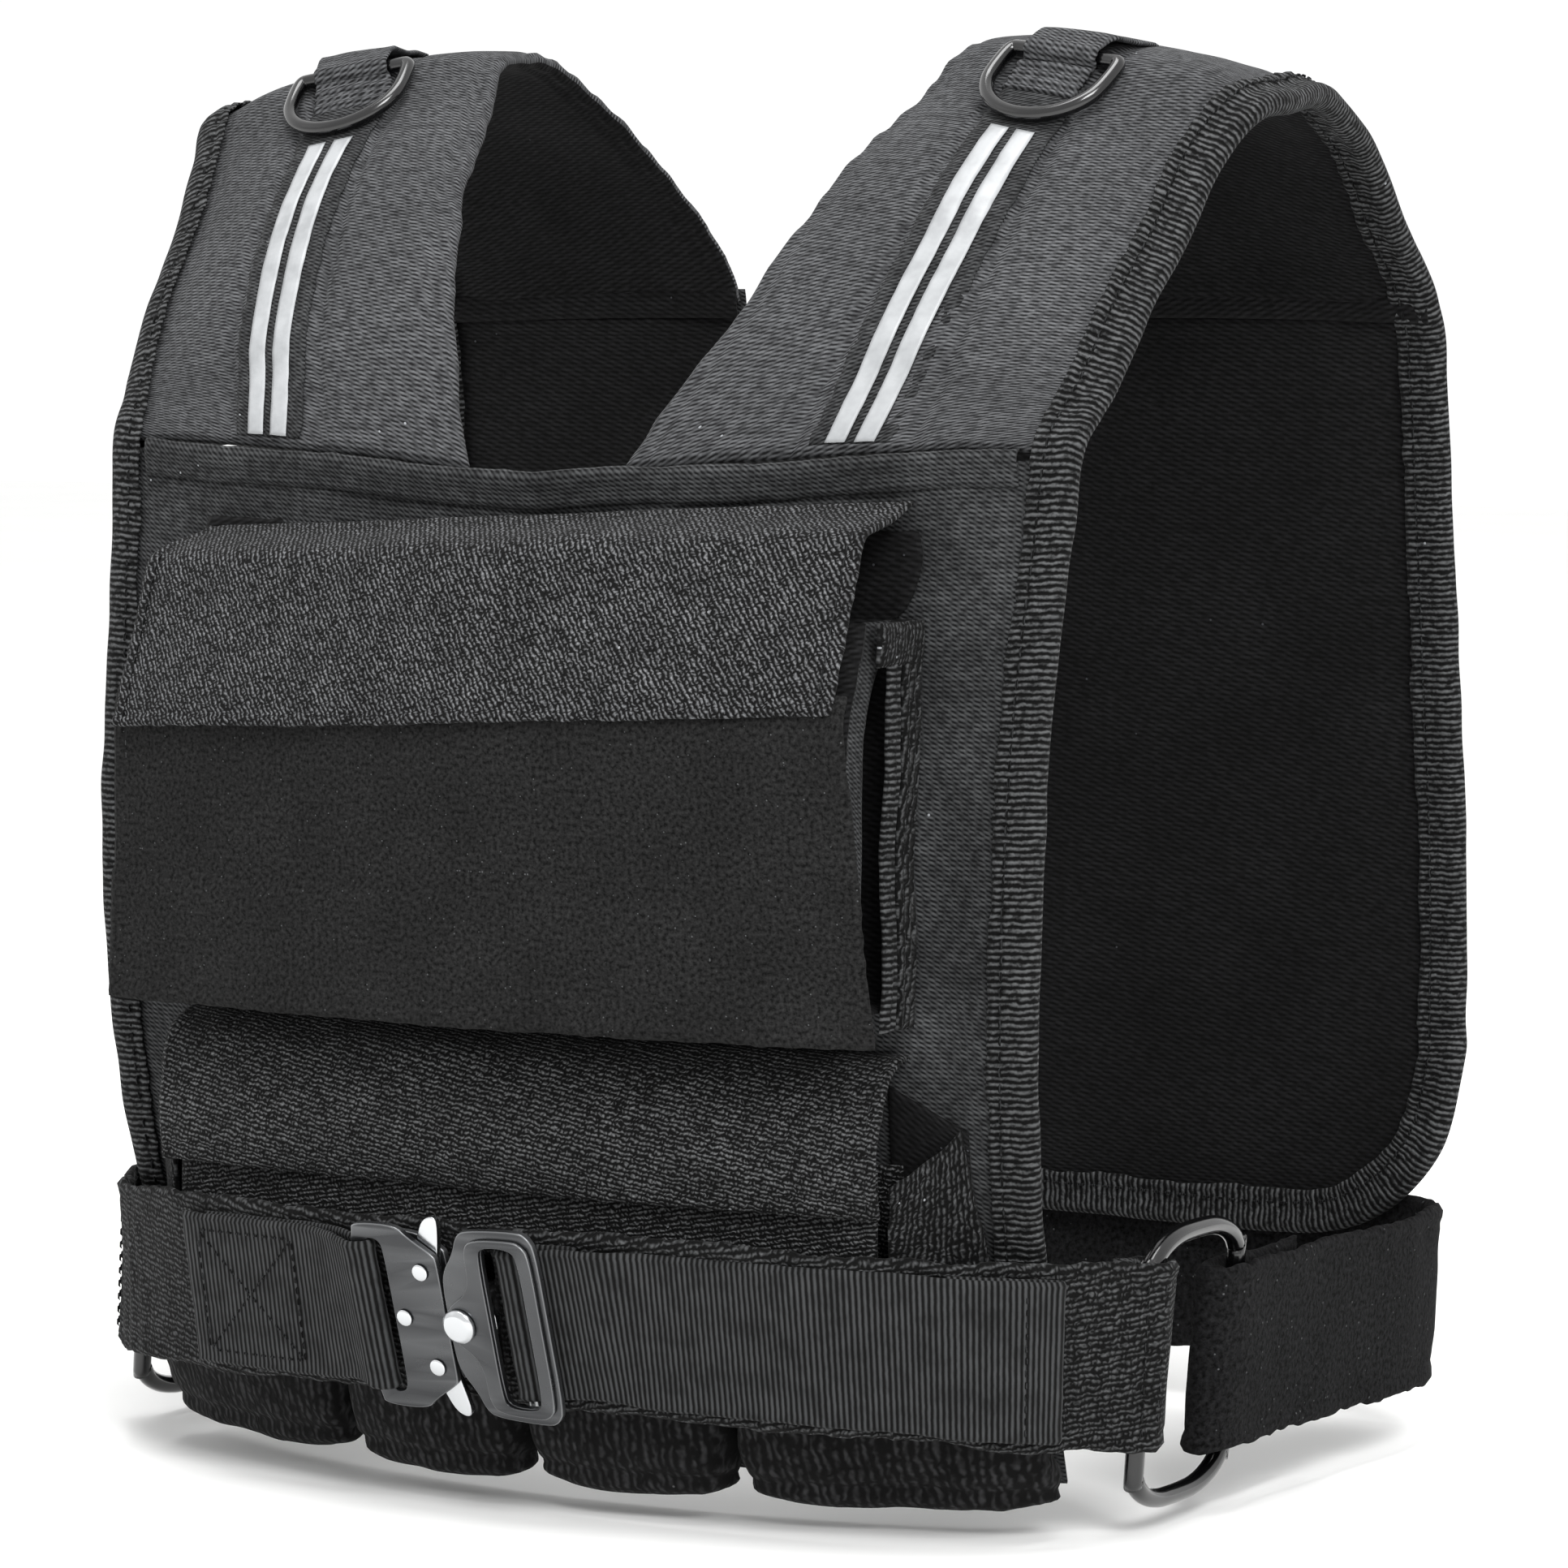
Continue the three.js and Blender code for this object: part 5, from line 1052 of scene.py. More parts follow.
def tabRelief(across, along, grid):
    side = np.minimum(across, across.max() - across)
    ply = 0.55 * np.sin(across * 2 * pi / tab["pliesPitch"] + lumps(grid, 18, 38))
    return 0.4 * lumps(grid, 9, 39), ply * np.clip(side / 2, 0, 1) - 0.3 * bell(side - 2, 0.8)


for side, flip in bothSides:
    way = 1 if side == "left" else -1
    piece = clothPiece(f"tab_bar_{side}", flip(barControl), -1.4, 1.6, [beltLoop], step=1.4,
                       relief=lambda a, b, g: (0.35 * lumps(g, 7, 40),
                                               -0.4 * bell(np.minimum(b, b.max() - b) - 2, 0.8)),
                       facing=(way, 0, 0), ragged=0.45, fray=41)
    sew(piece, "binding_tape", f"side_tab_{side}")
    plies = ((0.2, tab["strip"] * 0.52, 0.35, beltLoop),
             (tab["strip"] * 0.56, tab["strip"] * 0.4, -0.1, tape))
    for number, (inset, wide, out, look) in enumerate(plies):
        ply = flip(stripControlGrid(inset, wide, out))
        piece = clothPiece(f"tab_strip_{number + 1}_{side}", ply, -1.2, 1.2, [look], step=1.3,
                           relief=tabRelief, facing=(way, 0, 0), ragged=0.4, fray=42 + number)
        sew(piece, "binding_tape")
print("upper pouch sewn")

# Lower pouch: shallow sleeve under a rolled flap, closed at the sides by gussets
lower = {"top": 306, "height": 62, "depth": 19, "flapDrop": 42, "mouth": 28, "bulge": 9, "gusset": 21,
         "gussetTop": 16, "gussetFront": 33}
lowerHalf = pouch["half"] - 2
lowerWallY = offFront(lowerHalf, -lower["top"] - lower["flapDrop"], clothHalf + seamGap) - lower["depth"]
lowerControl = sleeveControl(lower["top"] + lower["mouth"], lower["top"] + lower["height"], lowerHalf,
                             lambda x, z: lowerWallY - bulgeAt(x, lower["bulge"], lowerHalf))
piece = clothPiece("lower_pouch_sleeve", lowerControl, -pouch["wall"] / 2, pouch["wall"] / 2, [rollLoop],
                   step=2.8, relief=softRelief(16, 0.5, 50), ragged=0.3)
sew(piece, "loop_cloth", "lower_pouch")
rollRows = [(0, -0.12), (0.35, -0.07), (0.75, 0.05), (0.97, 0.24), (1.12, 0.48), (1.14, 0.71), (1.06, 0.9),
            (1.03, 1)]
rollHalf = pouch["half"] + 1.5
rollLift = pouch["wall"] / 2 + seamGap + pouch["flap"] / 2
rollControl = []
for out, share in rollRows:
    z = -lower["top"] - lower["flapDrop"] * share
    row = []
    for x in columnsAcross(rollHalf, 11):
        back = offFront(x, z, clothHalf + seamGap + pouch["flap"] / 2)
        front = lowerWallY - rollLift - bulgeAt(x, lower["bulge"], rollHalf + pouch["flap"])
        row.append([x, back + (front - back) * out, z])
    rollControl.append(row)
rollControl = np.array(rollControl)


def rollRelief(across, along, grid):
    low, side = along.max() - along, np.minimum(across, across.max() - across)
    rise = 1.3 * lumps(grid * [0.55, 1, 1.2], 22, 51) + 0.4 * lumps(grid, 8, 52) + 0.8 * bell(side, 2.5)
    return rise * np.clip(along / 10, 0.2, 1), -0.7 * bell(low - 4.5, 1.0) - 0.6 * bell(side - 4.5, 1.0)


piece = clothPiece("lower_pouch_roll", rollControl, -pouch["flap"] / 2, pouch["flap"] / 2, [rollLoop],
                   step=1.9, relief=rollRelief, facing=(0, -1, 0.5), ragged=0.5, fray=53)
sew(piece, "loop_cloth", "lower_pouch_flap")
sew(stitchPiece("lower_roll_stitches", [seamOn(rollControl, 1.0, (0.93, 0.02), (0.93, 0.98), (0, -1, 0)),
                                        seamOn(rollControl, 1.0, (0.3, 0.985), (0.93, 0.985), (0, -1, 0))],
                2.8, 1.5, 0.7, 0.35), "loop_cloth")
gussetControl = []
for t in np.linspace(0, 1, 6):
    row = []
    for s in np.linspace(0, 1, 6):
        top = -lower["top"] - lower["gussetTop"] - (lower["gussetFront"] - lower["gussetTop"]) * s ** 0.8
        z = top + (-lower["top"] - lower["height"] + seamGap * 4 - top) * t
        x = pouch["half"] + seamGap * 3 + lower["gusset"] * (1 - s) * (0.75 + 0.25 * t)
        back = offFront(x + pouch["wall"], z, clothHalf + pouch["wall"] / 2 + 0.3)
        row.append([x, back + (lowerWallY + pouch["wall"] / 2 - back) * s, z])
    gussetControl.append(row)
for side, flip in bothSides:
    way = 1 if side == "left" else -1
    piece = clothPiece(f"lower_side_{side}", flip(np.array(gussetControl)), -pouch["wall"] / 2,
                       pouch["wall"] / 2, [beltLoop], step=1.6, relief=softRelief(11, 0.6, 54),
                       facing=(way, 0, 0), ragged=0.4, fray=55)
    sew(piece, "loop_cloth", f"lower_gusset_{side}")
# Painted shadow: a near-black sheet of lining laid on the panel where the lower pouch's side opening shows
# dark behind the gusset
lowerMouthShadowControl = []
for t in np.linspace(0, 1, 4):
    row = []
    for s in np.linspace(0, 1, 5):
        x = lowerHalf - 4 + (lower["gusset"] + 4) * s
        top = -lower["top"] - 4 - (lower["gussetTop"] - 3) * s
        z = top + (-lower["top"] - lower["gussetFront"] - 8 - top) * t
        row.append([x, offFront(x, z, clothHalf + 1.1), z])
    lowerMouthShadowControl.append(row)
for side, flip in bothSides:
    piece = clothPiece(f"lower_mouth_painted_shadow_{side}", flip(np.array(lowerMouthShadowControl)), -0.5, 0.5, [shadedLiningNylon],
                       step=1.8, relief=softRelief(14, 0.2, 57), facing=(0, -1, 0))
    sew(piece, "lining")
print("lower pouch sewn")

# Weight pouches: stuffed pads, blown up softly as cloth
weightLook = {"voxel": 4.5, "shrink": (1.0, 0.95, 0.985), "pressure": 3.0, "frames": 20, "cap": 3.2,
              "reach": 6.0, "seamUp": 9, "hemUp": 5}


def placesOf(mesh, kind="co"):
    values = np.empty(len(mesh.vertices) * 3)
    mesh.vertices.foreach_get(kind, values)
    return values.reshape(-1, 3)


def stuffed(name, node):
    mesh = nodes[node].data.copy()
    mesh.materials.clear()
    mesh.materials.append(airMesh)
    piece = bpy.data.objects.new(name, mesh)
    bpy.context.scene.collection.objects.link(piece)
    places = placesOf(mesh)
    middle = (places.min(0) + places.max(0)) / 2
    places = middle + (places - middle) * np.array(weightLook["shrink"])
    mesh.vertices.foreach_set("co", places.ravel())
    remesh = piece.modifiers.new("remesh", "REMESH")
    remesh.mode = "VOXEL"
    remesh.voxel_size = weightLook["voxel"] * mm
    settle(piece)
    before = placesOf(piece.data)
    cloth = piece.modifiers.new("cloth", "CLOTH")
    cloth.settings.use_pressure = True
    cloth.settings.uniform_pressure_force = weightLook["pressure"]
    cloth.settings.effector_weights.gravity = 0
    cloth.point_cache.frame_start, cloth.point_cache.frame_end = 1, weightLook["frames"]
    for number in range(1, weightLook["frames"] + 1):
        bpy.context.scene.frame_set(number)
    settle(piece)
    bpy.context.scene.frame_set(1)
    move = placesOf(piece.data) - before
    far = np.linalg.norm(move, axis=1, keepdims=True)
    cap = weightLook["cap"] * mm
    move *= np.minimum(1, cap / np.maximum(far, 1e-9))
    piece.data.vertices.foreach_set("co", (before + move).ravel())
    smooth = piece.modifiers.new("smooth", "SUBSURF")
    smooth.levels = smooth.render_levels = 1
    settle(piece)
    return piece


def settle(piece):
    # What the modifiers make becomes the piece's own mesh
    graph = bpy.context.evaluated_depsgraph_get()
    made = bpy.data.meshes.new_from_object(piece.evaluated_get(graph), depsgraph=graph)
    piece.modifiers.clear()
    piece.data = made
    made.polygons.foreach_set("use_smooth", np.ones(len(made.polygons), bool))


def sculpt(piece, change):
    # Moves each point of a made piece along its normal by what change gives for its place in millimetres
    mesh = piece.data
    places, normals = placesOf(mesh) / mm, placesOf(mesh, "normal")
    mesh.vertices.foreach_set("co", ((places + normals * change(places)[:, None]) * mm).ravel())
    mesh.update()


def stretchOut(piece, reach):
    # The outer pads lean out to the corner of the chest panel, with their inner edge where it was
    mesh = piece.data
    places = placesOf(mesh)
    out = np.abs(places[:, 0])
    share = (out - out.min()) / (out.max() - out.min())
    places[:, 0] += np.sign(places[:, 0]) * share * reach * mm
    mesh.vertices.foreach_set("co", places.ravel())
    mesh.update()


for name in ("inner", "outer"):
    for side in ("left", "right"):
        node = f"weight_pouch_{name}_{side}"
        piece = stuffed(f"weight_pad_{name}_{side}", node)
        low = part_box(node)[0][2] / mm
        sculpt(piece, lambda p: 0.9 * lumps(p, 22, 60) + 0.45 * lumps(p, 9, 61)
               - 1.1 * bell(p[:, 2] - low - weightLook["seamUp"], 1.8)
               + 0.7 * bell(p[:, 2] - low - weightLook["hemUp"], 2.2))
        if name == "outer":
            stretchOut(piece, weightLook["reach"])
        sew(piece, "pouch_cloth", node)
print("weight pouches stuffed")

# Belt: two loop wings from the front middle round the ring bars, and a felted strap behind
belt = {"height": 58, "thickness": 3, "drop": 384, "sideDrop": 392, "backDrop": 400, "leanX": 2.5, "leanY": 9,
        "front": 141, "back": 152, "side": 190, "split": 3, "wrinkle": 0.9, "leanFrom": 60, "leanOver": 80,
        "pleatsFrom": 0.55, "pleatPitch": 8.5}
wingPlan = [(0.31, 0.99), (0.58, 0.943), (0.763, 0.837), (0.858, 0.738), (0.926, 0.624), (0.972, 0.545),
            (1.008, 0.488), (1.016, 0.452), (1.004, 0.416), (0.98, 0.405), (0.956, 0.42), (0.947, 0.46),
            (0.942, 0.51)]
backPlan = [(0.949, 0.3), (0.948, 0.13), (0.947, 0.0), (0.947, -0.085), (0.953, -0.135), (0.972, -0.152),
            (0.998, -0.13), (1.012, -0.075), (1.013, 0.0), (1.012, 0.08), (1.02, 0.39), (1.034, 0.625),
            (1.03, 0.737), (1.02, 0.822), (0.995, 0.892), (0.955, 0.938), (0.895, 0.962), (0.77, 0.968),
            (0.42, 0.964), (0, 0.96)]


def leaning(point, drop):
    t = (point[2] + drop) / (belt["height"] / 2)
    forward = np.clip((-point[1] - belt["leanFrom"]) / belt["leanOver"], 0, 1)
    return np.array([point[0] + belt["leanX"] * t, point[1] - belt["leanY"] * forward * t, point[2]])


def beltMiddle(y):
    return belt["drop"] + (belt["sideDrop"] - belt["drop"]) * np.clip((y + belt["front"]) / 60, 0, 1)


def beltControl(plan, middle):
    rows = []
    for x, y in plan:
        drop = middle(y)
        rows.append([leaning((x, y, -drop + t * belt["height"]), drop) for t in (-0.5, -0.25, 0, 0.25, 0.5)])
    return np.array(rows)


def wingRelief(across, along, grid):
    side = np.minimum(across, across.max() - across)
    rise = belt["wrinkle"] * lumps(grid * [1, 1, 0.7], 24, 62) + 0.4 * lumps(grid, 8, 63)
    ends = np.clip(along / 10, 0.3, 1)
    nearRing = np.clip((along - along.max() * belt["pleatsFrom"]) / 20, 0, 1)
    pleats = 0.5 * np.sin(along * 2 * pi / belt["pleatPitch"] + 2.0 * lumps(grid, 20, 64)) * nearRing
    return (rise + pleats * 0.6) * ends, 0.4 * bell(side - 2, 2.0) - 0.4 * bell(side - 5, 1.0)


for side, way, start in (("left", 1, 2 * belt["split"]), ("right", -1, -belt["split"])):
    plan = [(start, -belt["front"])] + [(way * belt["side"] * x, -belt["front"] * y) for x, y in wingPlan]
    control = beltControl(plan, beltMiddle)
    piece = clothPiece(f"belt_wing_{side}", control, -belt["thickness"] / 2, belt["thickness"] / 2,
                       [beltLoop], step=1.9, relief=wingRelief, ragged=0.7, fray=65, waver=1.6)
    sew(piece, "loop_cloth", f"belt_{side}")
    lines = [seamOn(control, belt["thickness"] / 2 + 0.15, (a, 0.06), (b, 0.94), (way, -1, 0), 30)
             for a, b in ((0.52, 0.515), (0.575, 0.57))]
    sew(stitchPiece(f"belt_wing_stitches_{side}", lines, 3.0, 1.4, 0.8, 0.4), "loop_cloth")
right = [(belt["side"] * x, belt["back"] * y) for x, y in backPlan]
backPath = right + [(-x, y) for x, y in right[-2::-1]]


def backStrapRelief(across, along, grid):
    side = np.minimum(across, across.max() - across)
    rise = 1.0 * lumps(grid * [1, 1, 0.6], 30, 66) + 0.5 * lumps(grid, 9, 67)
    return rise, 0.5 * bell(side - 2.5, 2.5) - 0.35 * bell(side - 6.5, 1.0)


backControlGrid = beltControl(backPath, lambda y: belt["backDrop"])
piece = clothPiece("belt_back_strap", backControlGrid, -belt["thickness"] / 2, belt["thickness"] / 2,
                   [feltLoop], step=2.1, relief=backStrapRelief, ragged=1.0, fray=68, waver=1.4)
sew(piece, "fleece", "belt_back")
print("belt sewn")

# Metal wire rings


def wirePiece(name, points, radius, sides, steps=5):
    # Closed round wire through the points
    points = np.asarray(points, float)
    count = len(points)
    t = np.arange(count * steps) / steps
    base, f = t.astype(int), (t % 1)[:, None]
    p = [points[(base + k) % count] for k in (-1, 0, 1, 2)]
    path = 0.5 * (2 * p[1] + (p[2] - p[0]) * f + (2 * p[0] - 5 * p[1] + 4 * p[2] - p[3]) * f ** 2
                  + (3 * p[1] - 3 * p[2] + p[3] - p[0]) * f ** 3)
    along = unit(np.roll(path, -1, 0) - np.roll(path, 1, 0))
    middle = path.mean(0)
    normal = unit(np.cross(path - middle, np.roll(path, -1, 0) - middle).mean(0))
    side = unit(np.cross(along, normal))
    vertices, faces = [], []
    total = len(path)
    for i in range(total):
        for k in range(sides):
            a = 2 * pi * k / sides
            vertices.append(path[i] + side[i] * cos(a) * radius + normal * sin(a) * radius)
    for i in range(total):
        j = (i + 1) % total
        for k in range(sides):
            m = (k + 1) % sides
            faces.append([i * sides + k, i * sides + m, j * sides + m, j * sides + k])
    return meshPiece(name, vertices, faces, [ringSteel])


oblong = {"height": 88, "drop": 398.5, "width": 64, "wire": 6, "side": 186.2, "centre": 35, "cornerWide": 24,
          "cornerTall": 12}
tall = (oblong["height"] - oblong["wire"]) / 2 - oblong["cornerTall"]
wide = (oblong["width"] - oblong["wire"]) / 2 - oblong["cornerWide"]
flatRing = []
for cy, cz, start in ((1, 1, 0), (-1, 1, 90), (-1, -1, 180), (1, -1, 270)):
    for i in range(7):
        a = radians(start + i * 15)
        flatRing.append((cy * wide + oblong["cornerWide"] * cos(a),
                         cz * tall + oblong["cornerTall"] * sin(a)))
for side, way in (("left", 1), ("right", -1)):
    points = [leaning((way * oblong["side"], -oblong["centre"] + y, -oblong["drop"] + z),
                      (belt["sideDrop"] + belt["backDrop"]) / 2) for y, z in flatRing]
    sew(wirePiece(f"belt_wire_ring_{side}", points, oblong["wire"] / 2, 18), "black_metal",
        f"belt_ring_{side}")

# Shoulder rings hang in a ribbed tape that is sewn to the top of the strap
shoulderRing = {"wire": 4.8, "width": 46, "height": 33, "station": 5.75, "tilt": 3, "tape": 1.6,
                "tapeWidth": 27, "tapeLength": 26, "foot": 3, "corner": 0.8, "shank": 4, "arch": 0.86}
ringShare = bandShare(shoulderRing["station"])


def cornerPoint(r, share):
    # The CAD strap is straight between these columns, and the rings are placed on it
    wideHere = np.linalg.norm(outerEdge[r] - innerEdge[r])
    bound = 1 - strap["bindingWidth"] / wideHere
    columns = np.array([0, 0.14, 0.28, 0.62, (0.62 + bound) / 2, bound, 1])
    crown = np.interp(share, columns, 4 * columns * (1 - columns))
    return innerEdge[r] + (outerEdge[r] - innerEdge[r]) * share + strapOut[r] * crowns[r] * crown


def straightPoint(v, share):
    r = int(v)
    f = v - r
    return (1 - f) * cornerPoint(r, share) + f * cornerPoint(r + 1, share)


ringAt = shoulderRing["station"]
ringPoint = straightPoint(ringAt, ringShare)
ringAcross = unit(straightPoint(ringAt, ringShare + 0.1) - straightPoint(ringAt, ringShare - 0.1))
ringAhead = unit(straightPoint(ringAt - 0.5, ringShare) - straightPoint(ringAt + 0.35, ringShare))
ringNormal = unit(np.cross(ringAhead, ringAcross))
ringNormal = ringNormal if ringNormal[2] > 0 else -ringNormal
ringDown = unit(np.cross(ringAcross, ringNormal))
ringDown = ringDown if ringDown[1] < 0 else -ringDown
ringLift = clothHalf + seamGap + shoulderRing["tape"] + 0.4 + shoulderRing["wire"] / 2
inRing = lambda a, d, lift: ringPoint + ringAcross * a + ringDown * d + ringNormal * lift


def ringOutline():
    wide = (shoulderRing["width"] - shoulderRing["wire"]) / 2
    tall = shoulderRing["height"] - shoulderRing["wire"]
    foot, corner, shank = (shoulderRing[key] for key in ("foot", "corner", "shank"))
    arch = wide * shoulderRing["arch"]
    flat = [(-wide + foot, 0), (-wide * 0.45, 0), (0, 0), (wide * 0.45, 0), (wide - foot, 0)]
    flat += [(wide - corner, corner), (wide, shank)]
    flat += [(wide * cos(a), tall - arch + arch * sin(a)) for a in np.linspace(0, pi, 13)]
    return flat + [(-wide, shank), (-wide + corner, corner)]


tilt = radians(shoulderRing["tilt"])
ringPath = np.array([inRing(a, d * cos(tilt), ringLift - d * sin(tilt)) for a, d in ringOutline()])


# Distance from the ring's bar along the strap, and rise above the strap, of the tape on each side of the bar
tapeBefore = [(shoulderRing["tapeLength"], -0.6), (21, 0.0), (15, 0.4), (9, 2.2), (5, 4.4)]
tapeAfter = [(-5.5, 1.2), (-9, 0.2), (-13, 0.0), (-16.5, -0.7)]


def loopControl():
    # The tape rises off the strap behind the bar, goes over it and down to the strap inside the ring
    turn = shoulderRing["wire"] / 2 + 0.5 + shoulderRing["tape"] / 2
    wide = np.linalg.norm(np.diff([onStrap(shoulderRing["station"], s)[0][0] for s in (0, 1)], axis=0))
    steps = np.arange(-20, 13) * 0.1
    line = np.array([onStrap(shoulderRing["station"] + q, ringShare)[0][0] for q in steps])
    length = np.concatenate([[0], np.cumsum(np.linalg.norm(np.diff(line, axis=0), axis=1))])
    length -= length[20]
    stationAt = lambda d: shoulderRing["station"] + np.interp(d, length, steps)
    low = clothHalf + strap["pad"] + shoulderRing["tape"] / 2 + 0.2
    rows = []
    across = np.linspace(-0.5, 0.5, 5)
    for d, lift in tapeBefore:
        place, normal = onStrap(stationAt(d), ringShare + across * shoulderRing["tapeWidth"] / wide)
        rows.append(place + normal * (low + lift))
    for angle in (112, 90, 65, 40, 15, -10):
        a = radians(angle)
        rows.append(np.array([inRing(s * shoulderRing["tapeWidth"], turn * cos(a), ringLift + turn * sin(a))
                              for s in across]))
    for d, lift in tapeAfter:
        place, normal = onStrap(stationAt(d), ringShare + across * shoulderRing["tapeWidth"] / wide)
        rows.append(place + normal * (low + lift))
    return np.array(rows)


def loopRelief(across, along, grid):
    folds = 0.5 * np.sin(along * 2 * pi / 3.1 + 0.8 * lumps(grid, 9, 70)) * np.clip((along - 30) / 6, 0, 1)
    return 0.25 * lumps(grid, 6, 71) + folds, 0.0 * across


loopTapeControl = loopControl()
for side, flip in bothSides:
    ring = wirePiece(f"shoulder_wire_ring_{side}", flip(ringPath), shoulderRing["wire"] / 2, 16)
    sew(ring, "black_metal", f"d_ring_{side}", body=f"shoulder_ring_{side}")
    piece = clothPiece(f"ring_tape_{side}", flip(loopTapeControl), -shoulderRing["tape"] / 2,
                       shoulderRing["tape"] / 2, [nylon], step=0.9, relief=loopRelief, ragged=0.2, fray=71)
    sew(piece, "binding_tape", f"ring_loop_{side}")
print("rings bent")

# Buckle: plates cut with rounded edges; s runs along the belt, t up, and lift stands out from the belt
buckle = {"plate": 2.2, "plateHeight": 62, "frameHeight": 65, "lever": 2.4, "clear": 0.35, "rivet": 2.7,
          "head": 0.9, "inset": 6.4, "rise": 16, "receiverWidth": 31, "receiverRight": -6, "slot": 0.83,
          "insertWidth": 36.5, "insertRight": 31.2, "rim": 1.2, "stand": 2.2, "studPin": 2.0, "studFoot": 3.4,
          "edge": 0.45}
lean = atan2(2 * belt["leanY"], belt["height"])
origin = np.array([0, -belt["front"] - belt["thickness"] / 2 - buckle["stand"], -belt["drop"]])
buckleUp, buckleOut = np.array([0, -sin(lean), cos(lean)]), np.array([0, -cos(lean), -sin(lean)])
inBuckle = lambda s, t, lift: origin + np.array([s, 0, 0]) + buckleUp * t + buckleOut * lift
leverLift = buckle["plate"] + buckle["clear"]
frontLift = leverLift + buckle["lever"] + buckle["clear"]
rimLift = frontLift + buckle["plate"] + buckle["clear"]
rimTop = rimLift + buckle["rim"]
stackTop = frontLift + buckle["plate"]


def rounded(outline, times=2):
    # Cuts the corners of an outline so that they come out round
    points = np.array(outline, float)
    for _ in range(times):
        after = np.roll(points, -1, 0)
        points = np.stack([points * 0.75 + after * 0.25, points * 0.25 + after * 0.75], 1).reshape(-1, 2)
    return points


def platePiece(name, outline, holes, lift, thickness, material, times=2, edge=None):
    edge = buckle["edge"] if edge is None else edge
    curve = bpy.data.curves.new(name, "CURVE")
    curve.dimensions, curve.fill_mode = "2D", "BOTH"
    curve.extrude = (thickness / 2 - edge) * mm
    curve.bevel_depth, curve.offset, curve.bevel_resolution = edge * mm, -edge * mm, 3
    for number, loop in enumerate([outline] + list(holes)):
        points = rounded(loop, times if number == 0 or len(loop) < 12 else 1)
        spline = curve.splines.new("POLY")
        spline.points.add(len(points) - 1)
        for point, (s, t) in zip(spline.points, points):
            point.co = (s * mm, t * mm, 0, 1)
        spline.use_cyclic_u = True
    shape = bpy.data.objects.new(name + "_shape", curve)
    bpy.context.scene.collection.objects.link(shape)
    graph = bpy.context.evaluated_depsgraph_get()
    mesh = bpy.data.meshes.new_from_object(shape.evaluated_get(graph))
    bpy.data.objects.remove(shape)
    centre = origin + buckleOut * (lift + thickness / 2)
    turn = Matrix(np.column_stack([[1, 0, 0], buckleUp, buckleOut]).tolist()).to_4x4()
    mesh.transform(Matrix.Translation(Vector(centre * mm)) @ turn)
    if turn.determinant() < 0:
        mesh.flip_normals()
    mesh.name = name
    mesh.materials.clear()
    mesh.materials.append(material)
    mesh.polygons.foreach_set("use_smooth", np.ones(len(mesh.polygons), bool))
    mesh.polygons.foreach_set("material_index", np.zeros(len(mesh.polygons), np.int32))
    piece = bpy.data.objects.new(name, mesh)
    bpy.context.scene.collection.objects.link(piece)
    weld = piece.modifiers.new("weld", "WELD")
    weld.merge_threshold = 0.01 * mm
    settle(piece)
    piece.data.set_sharp_from_angle(angle=radians(38))
    return piece


def turnedPiece(name, s, t, profile, material, sides=40):
    # A turned pin: rings of (lift, radius) closed at both ends
    points, faces = [], []
    for lift, radius in profile:
        for k in range(sides):
            a = 2 * pi * k / sides
            points.append(inBuckle(s + radius * cos(a), t + radius * sin(a), lift))
    for ring in range(len(profile) - 1):
        for k in range(sides):
            j, at = (k + 1) % sides, ring * sides
            faces.append([at + k, at + sides + k, at + sides + j, at + j])
    faces.append(list(range(sides)))
    faces.append([(len(profile) - 1) * sides + k for k in range(sides - 1, -1, -1)])
    piece = meshPiece(name, points, faces, [material])
    piece.data.flip_normals()
    piece.data.set_sharp_from_angle(angle=radians(40))
    return piece


def bothHalves(half, right, width, halfHeight):
    upper = [(right - width * x, halfHeight * y) for x, y in half]
    lower = [(right - width * x, -halfHeight * y) for x, y in reversed(half) if y > 0]
    return upper + lower


def disc(s, t, radius, sides=24):
    return [(s + radius * cos(2 * pi * k / sides), t + radius * sin(2 * pi * k / sides))
            for k in range(sides)]


receiverHalf = [(0, 0), (0, 0.3), (0, 0.64), (0.02, 0.7), (0.3, 0.88), (0.42, 1), (0.86, 1), (1, 0.93)]
receiverSlot = [(0.62, 0), (0.62, 0.72), (0.66, buckle["slot"]), (0.84, buckle["slot"]), (0.84, 0)]
backHalf = [(0, 0), (0, 0.64), (0.02, 0.7), (0.3, 0.86), (0.64, 0.86), (0.64, 0)]
receiverSize = (buckle["receiverRight"], buckle["receiverWidth"], buckle["plateHeight"] / 2)
rivets = {"top": (buckle["receiverRight"] - buckle["inset"], buckle["rise"]),
          "bottom": (buckle["receiverRight"] - buckle["inset"], -buckle["rise"]),
          "middle": (buckle["receiverRight"] - buckle["inset"] * 2.4, 0)}
rivetPin = buckle["rivet"] * 0.6
rivetHoles = [disc(s, t, rivetPin + buckle["clear"]) for s, t in rivets.values()]
sew(platePiece("receiver_back", bothHalves(backHalf, *receiverSize), rivetHoles, 0, buckle["plate"],
               plateAluminium),
    "black_plate", "buckle_back_plate")
sew(platePiece("receiver_front", bothHalves(receiverHalf, *receiverSize),
               [bothHalves(receiverSlot, *receiverSize)] + rivetHoles, frontLift, buckle["plate"],
               plateAluminium),
    "black_plate", "buckle_front_plate")
leverOutline = [(-4.2, -4), (-4.6, 3), (-1.5, 9.5), (1.5, 16), (5.5, 18), (7.5, 16.5), (6.6, 10), (5.2, 4),
                (4.4, -3), (1, -5)]
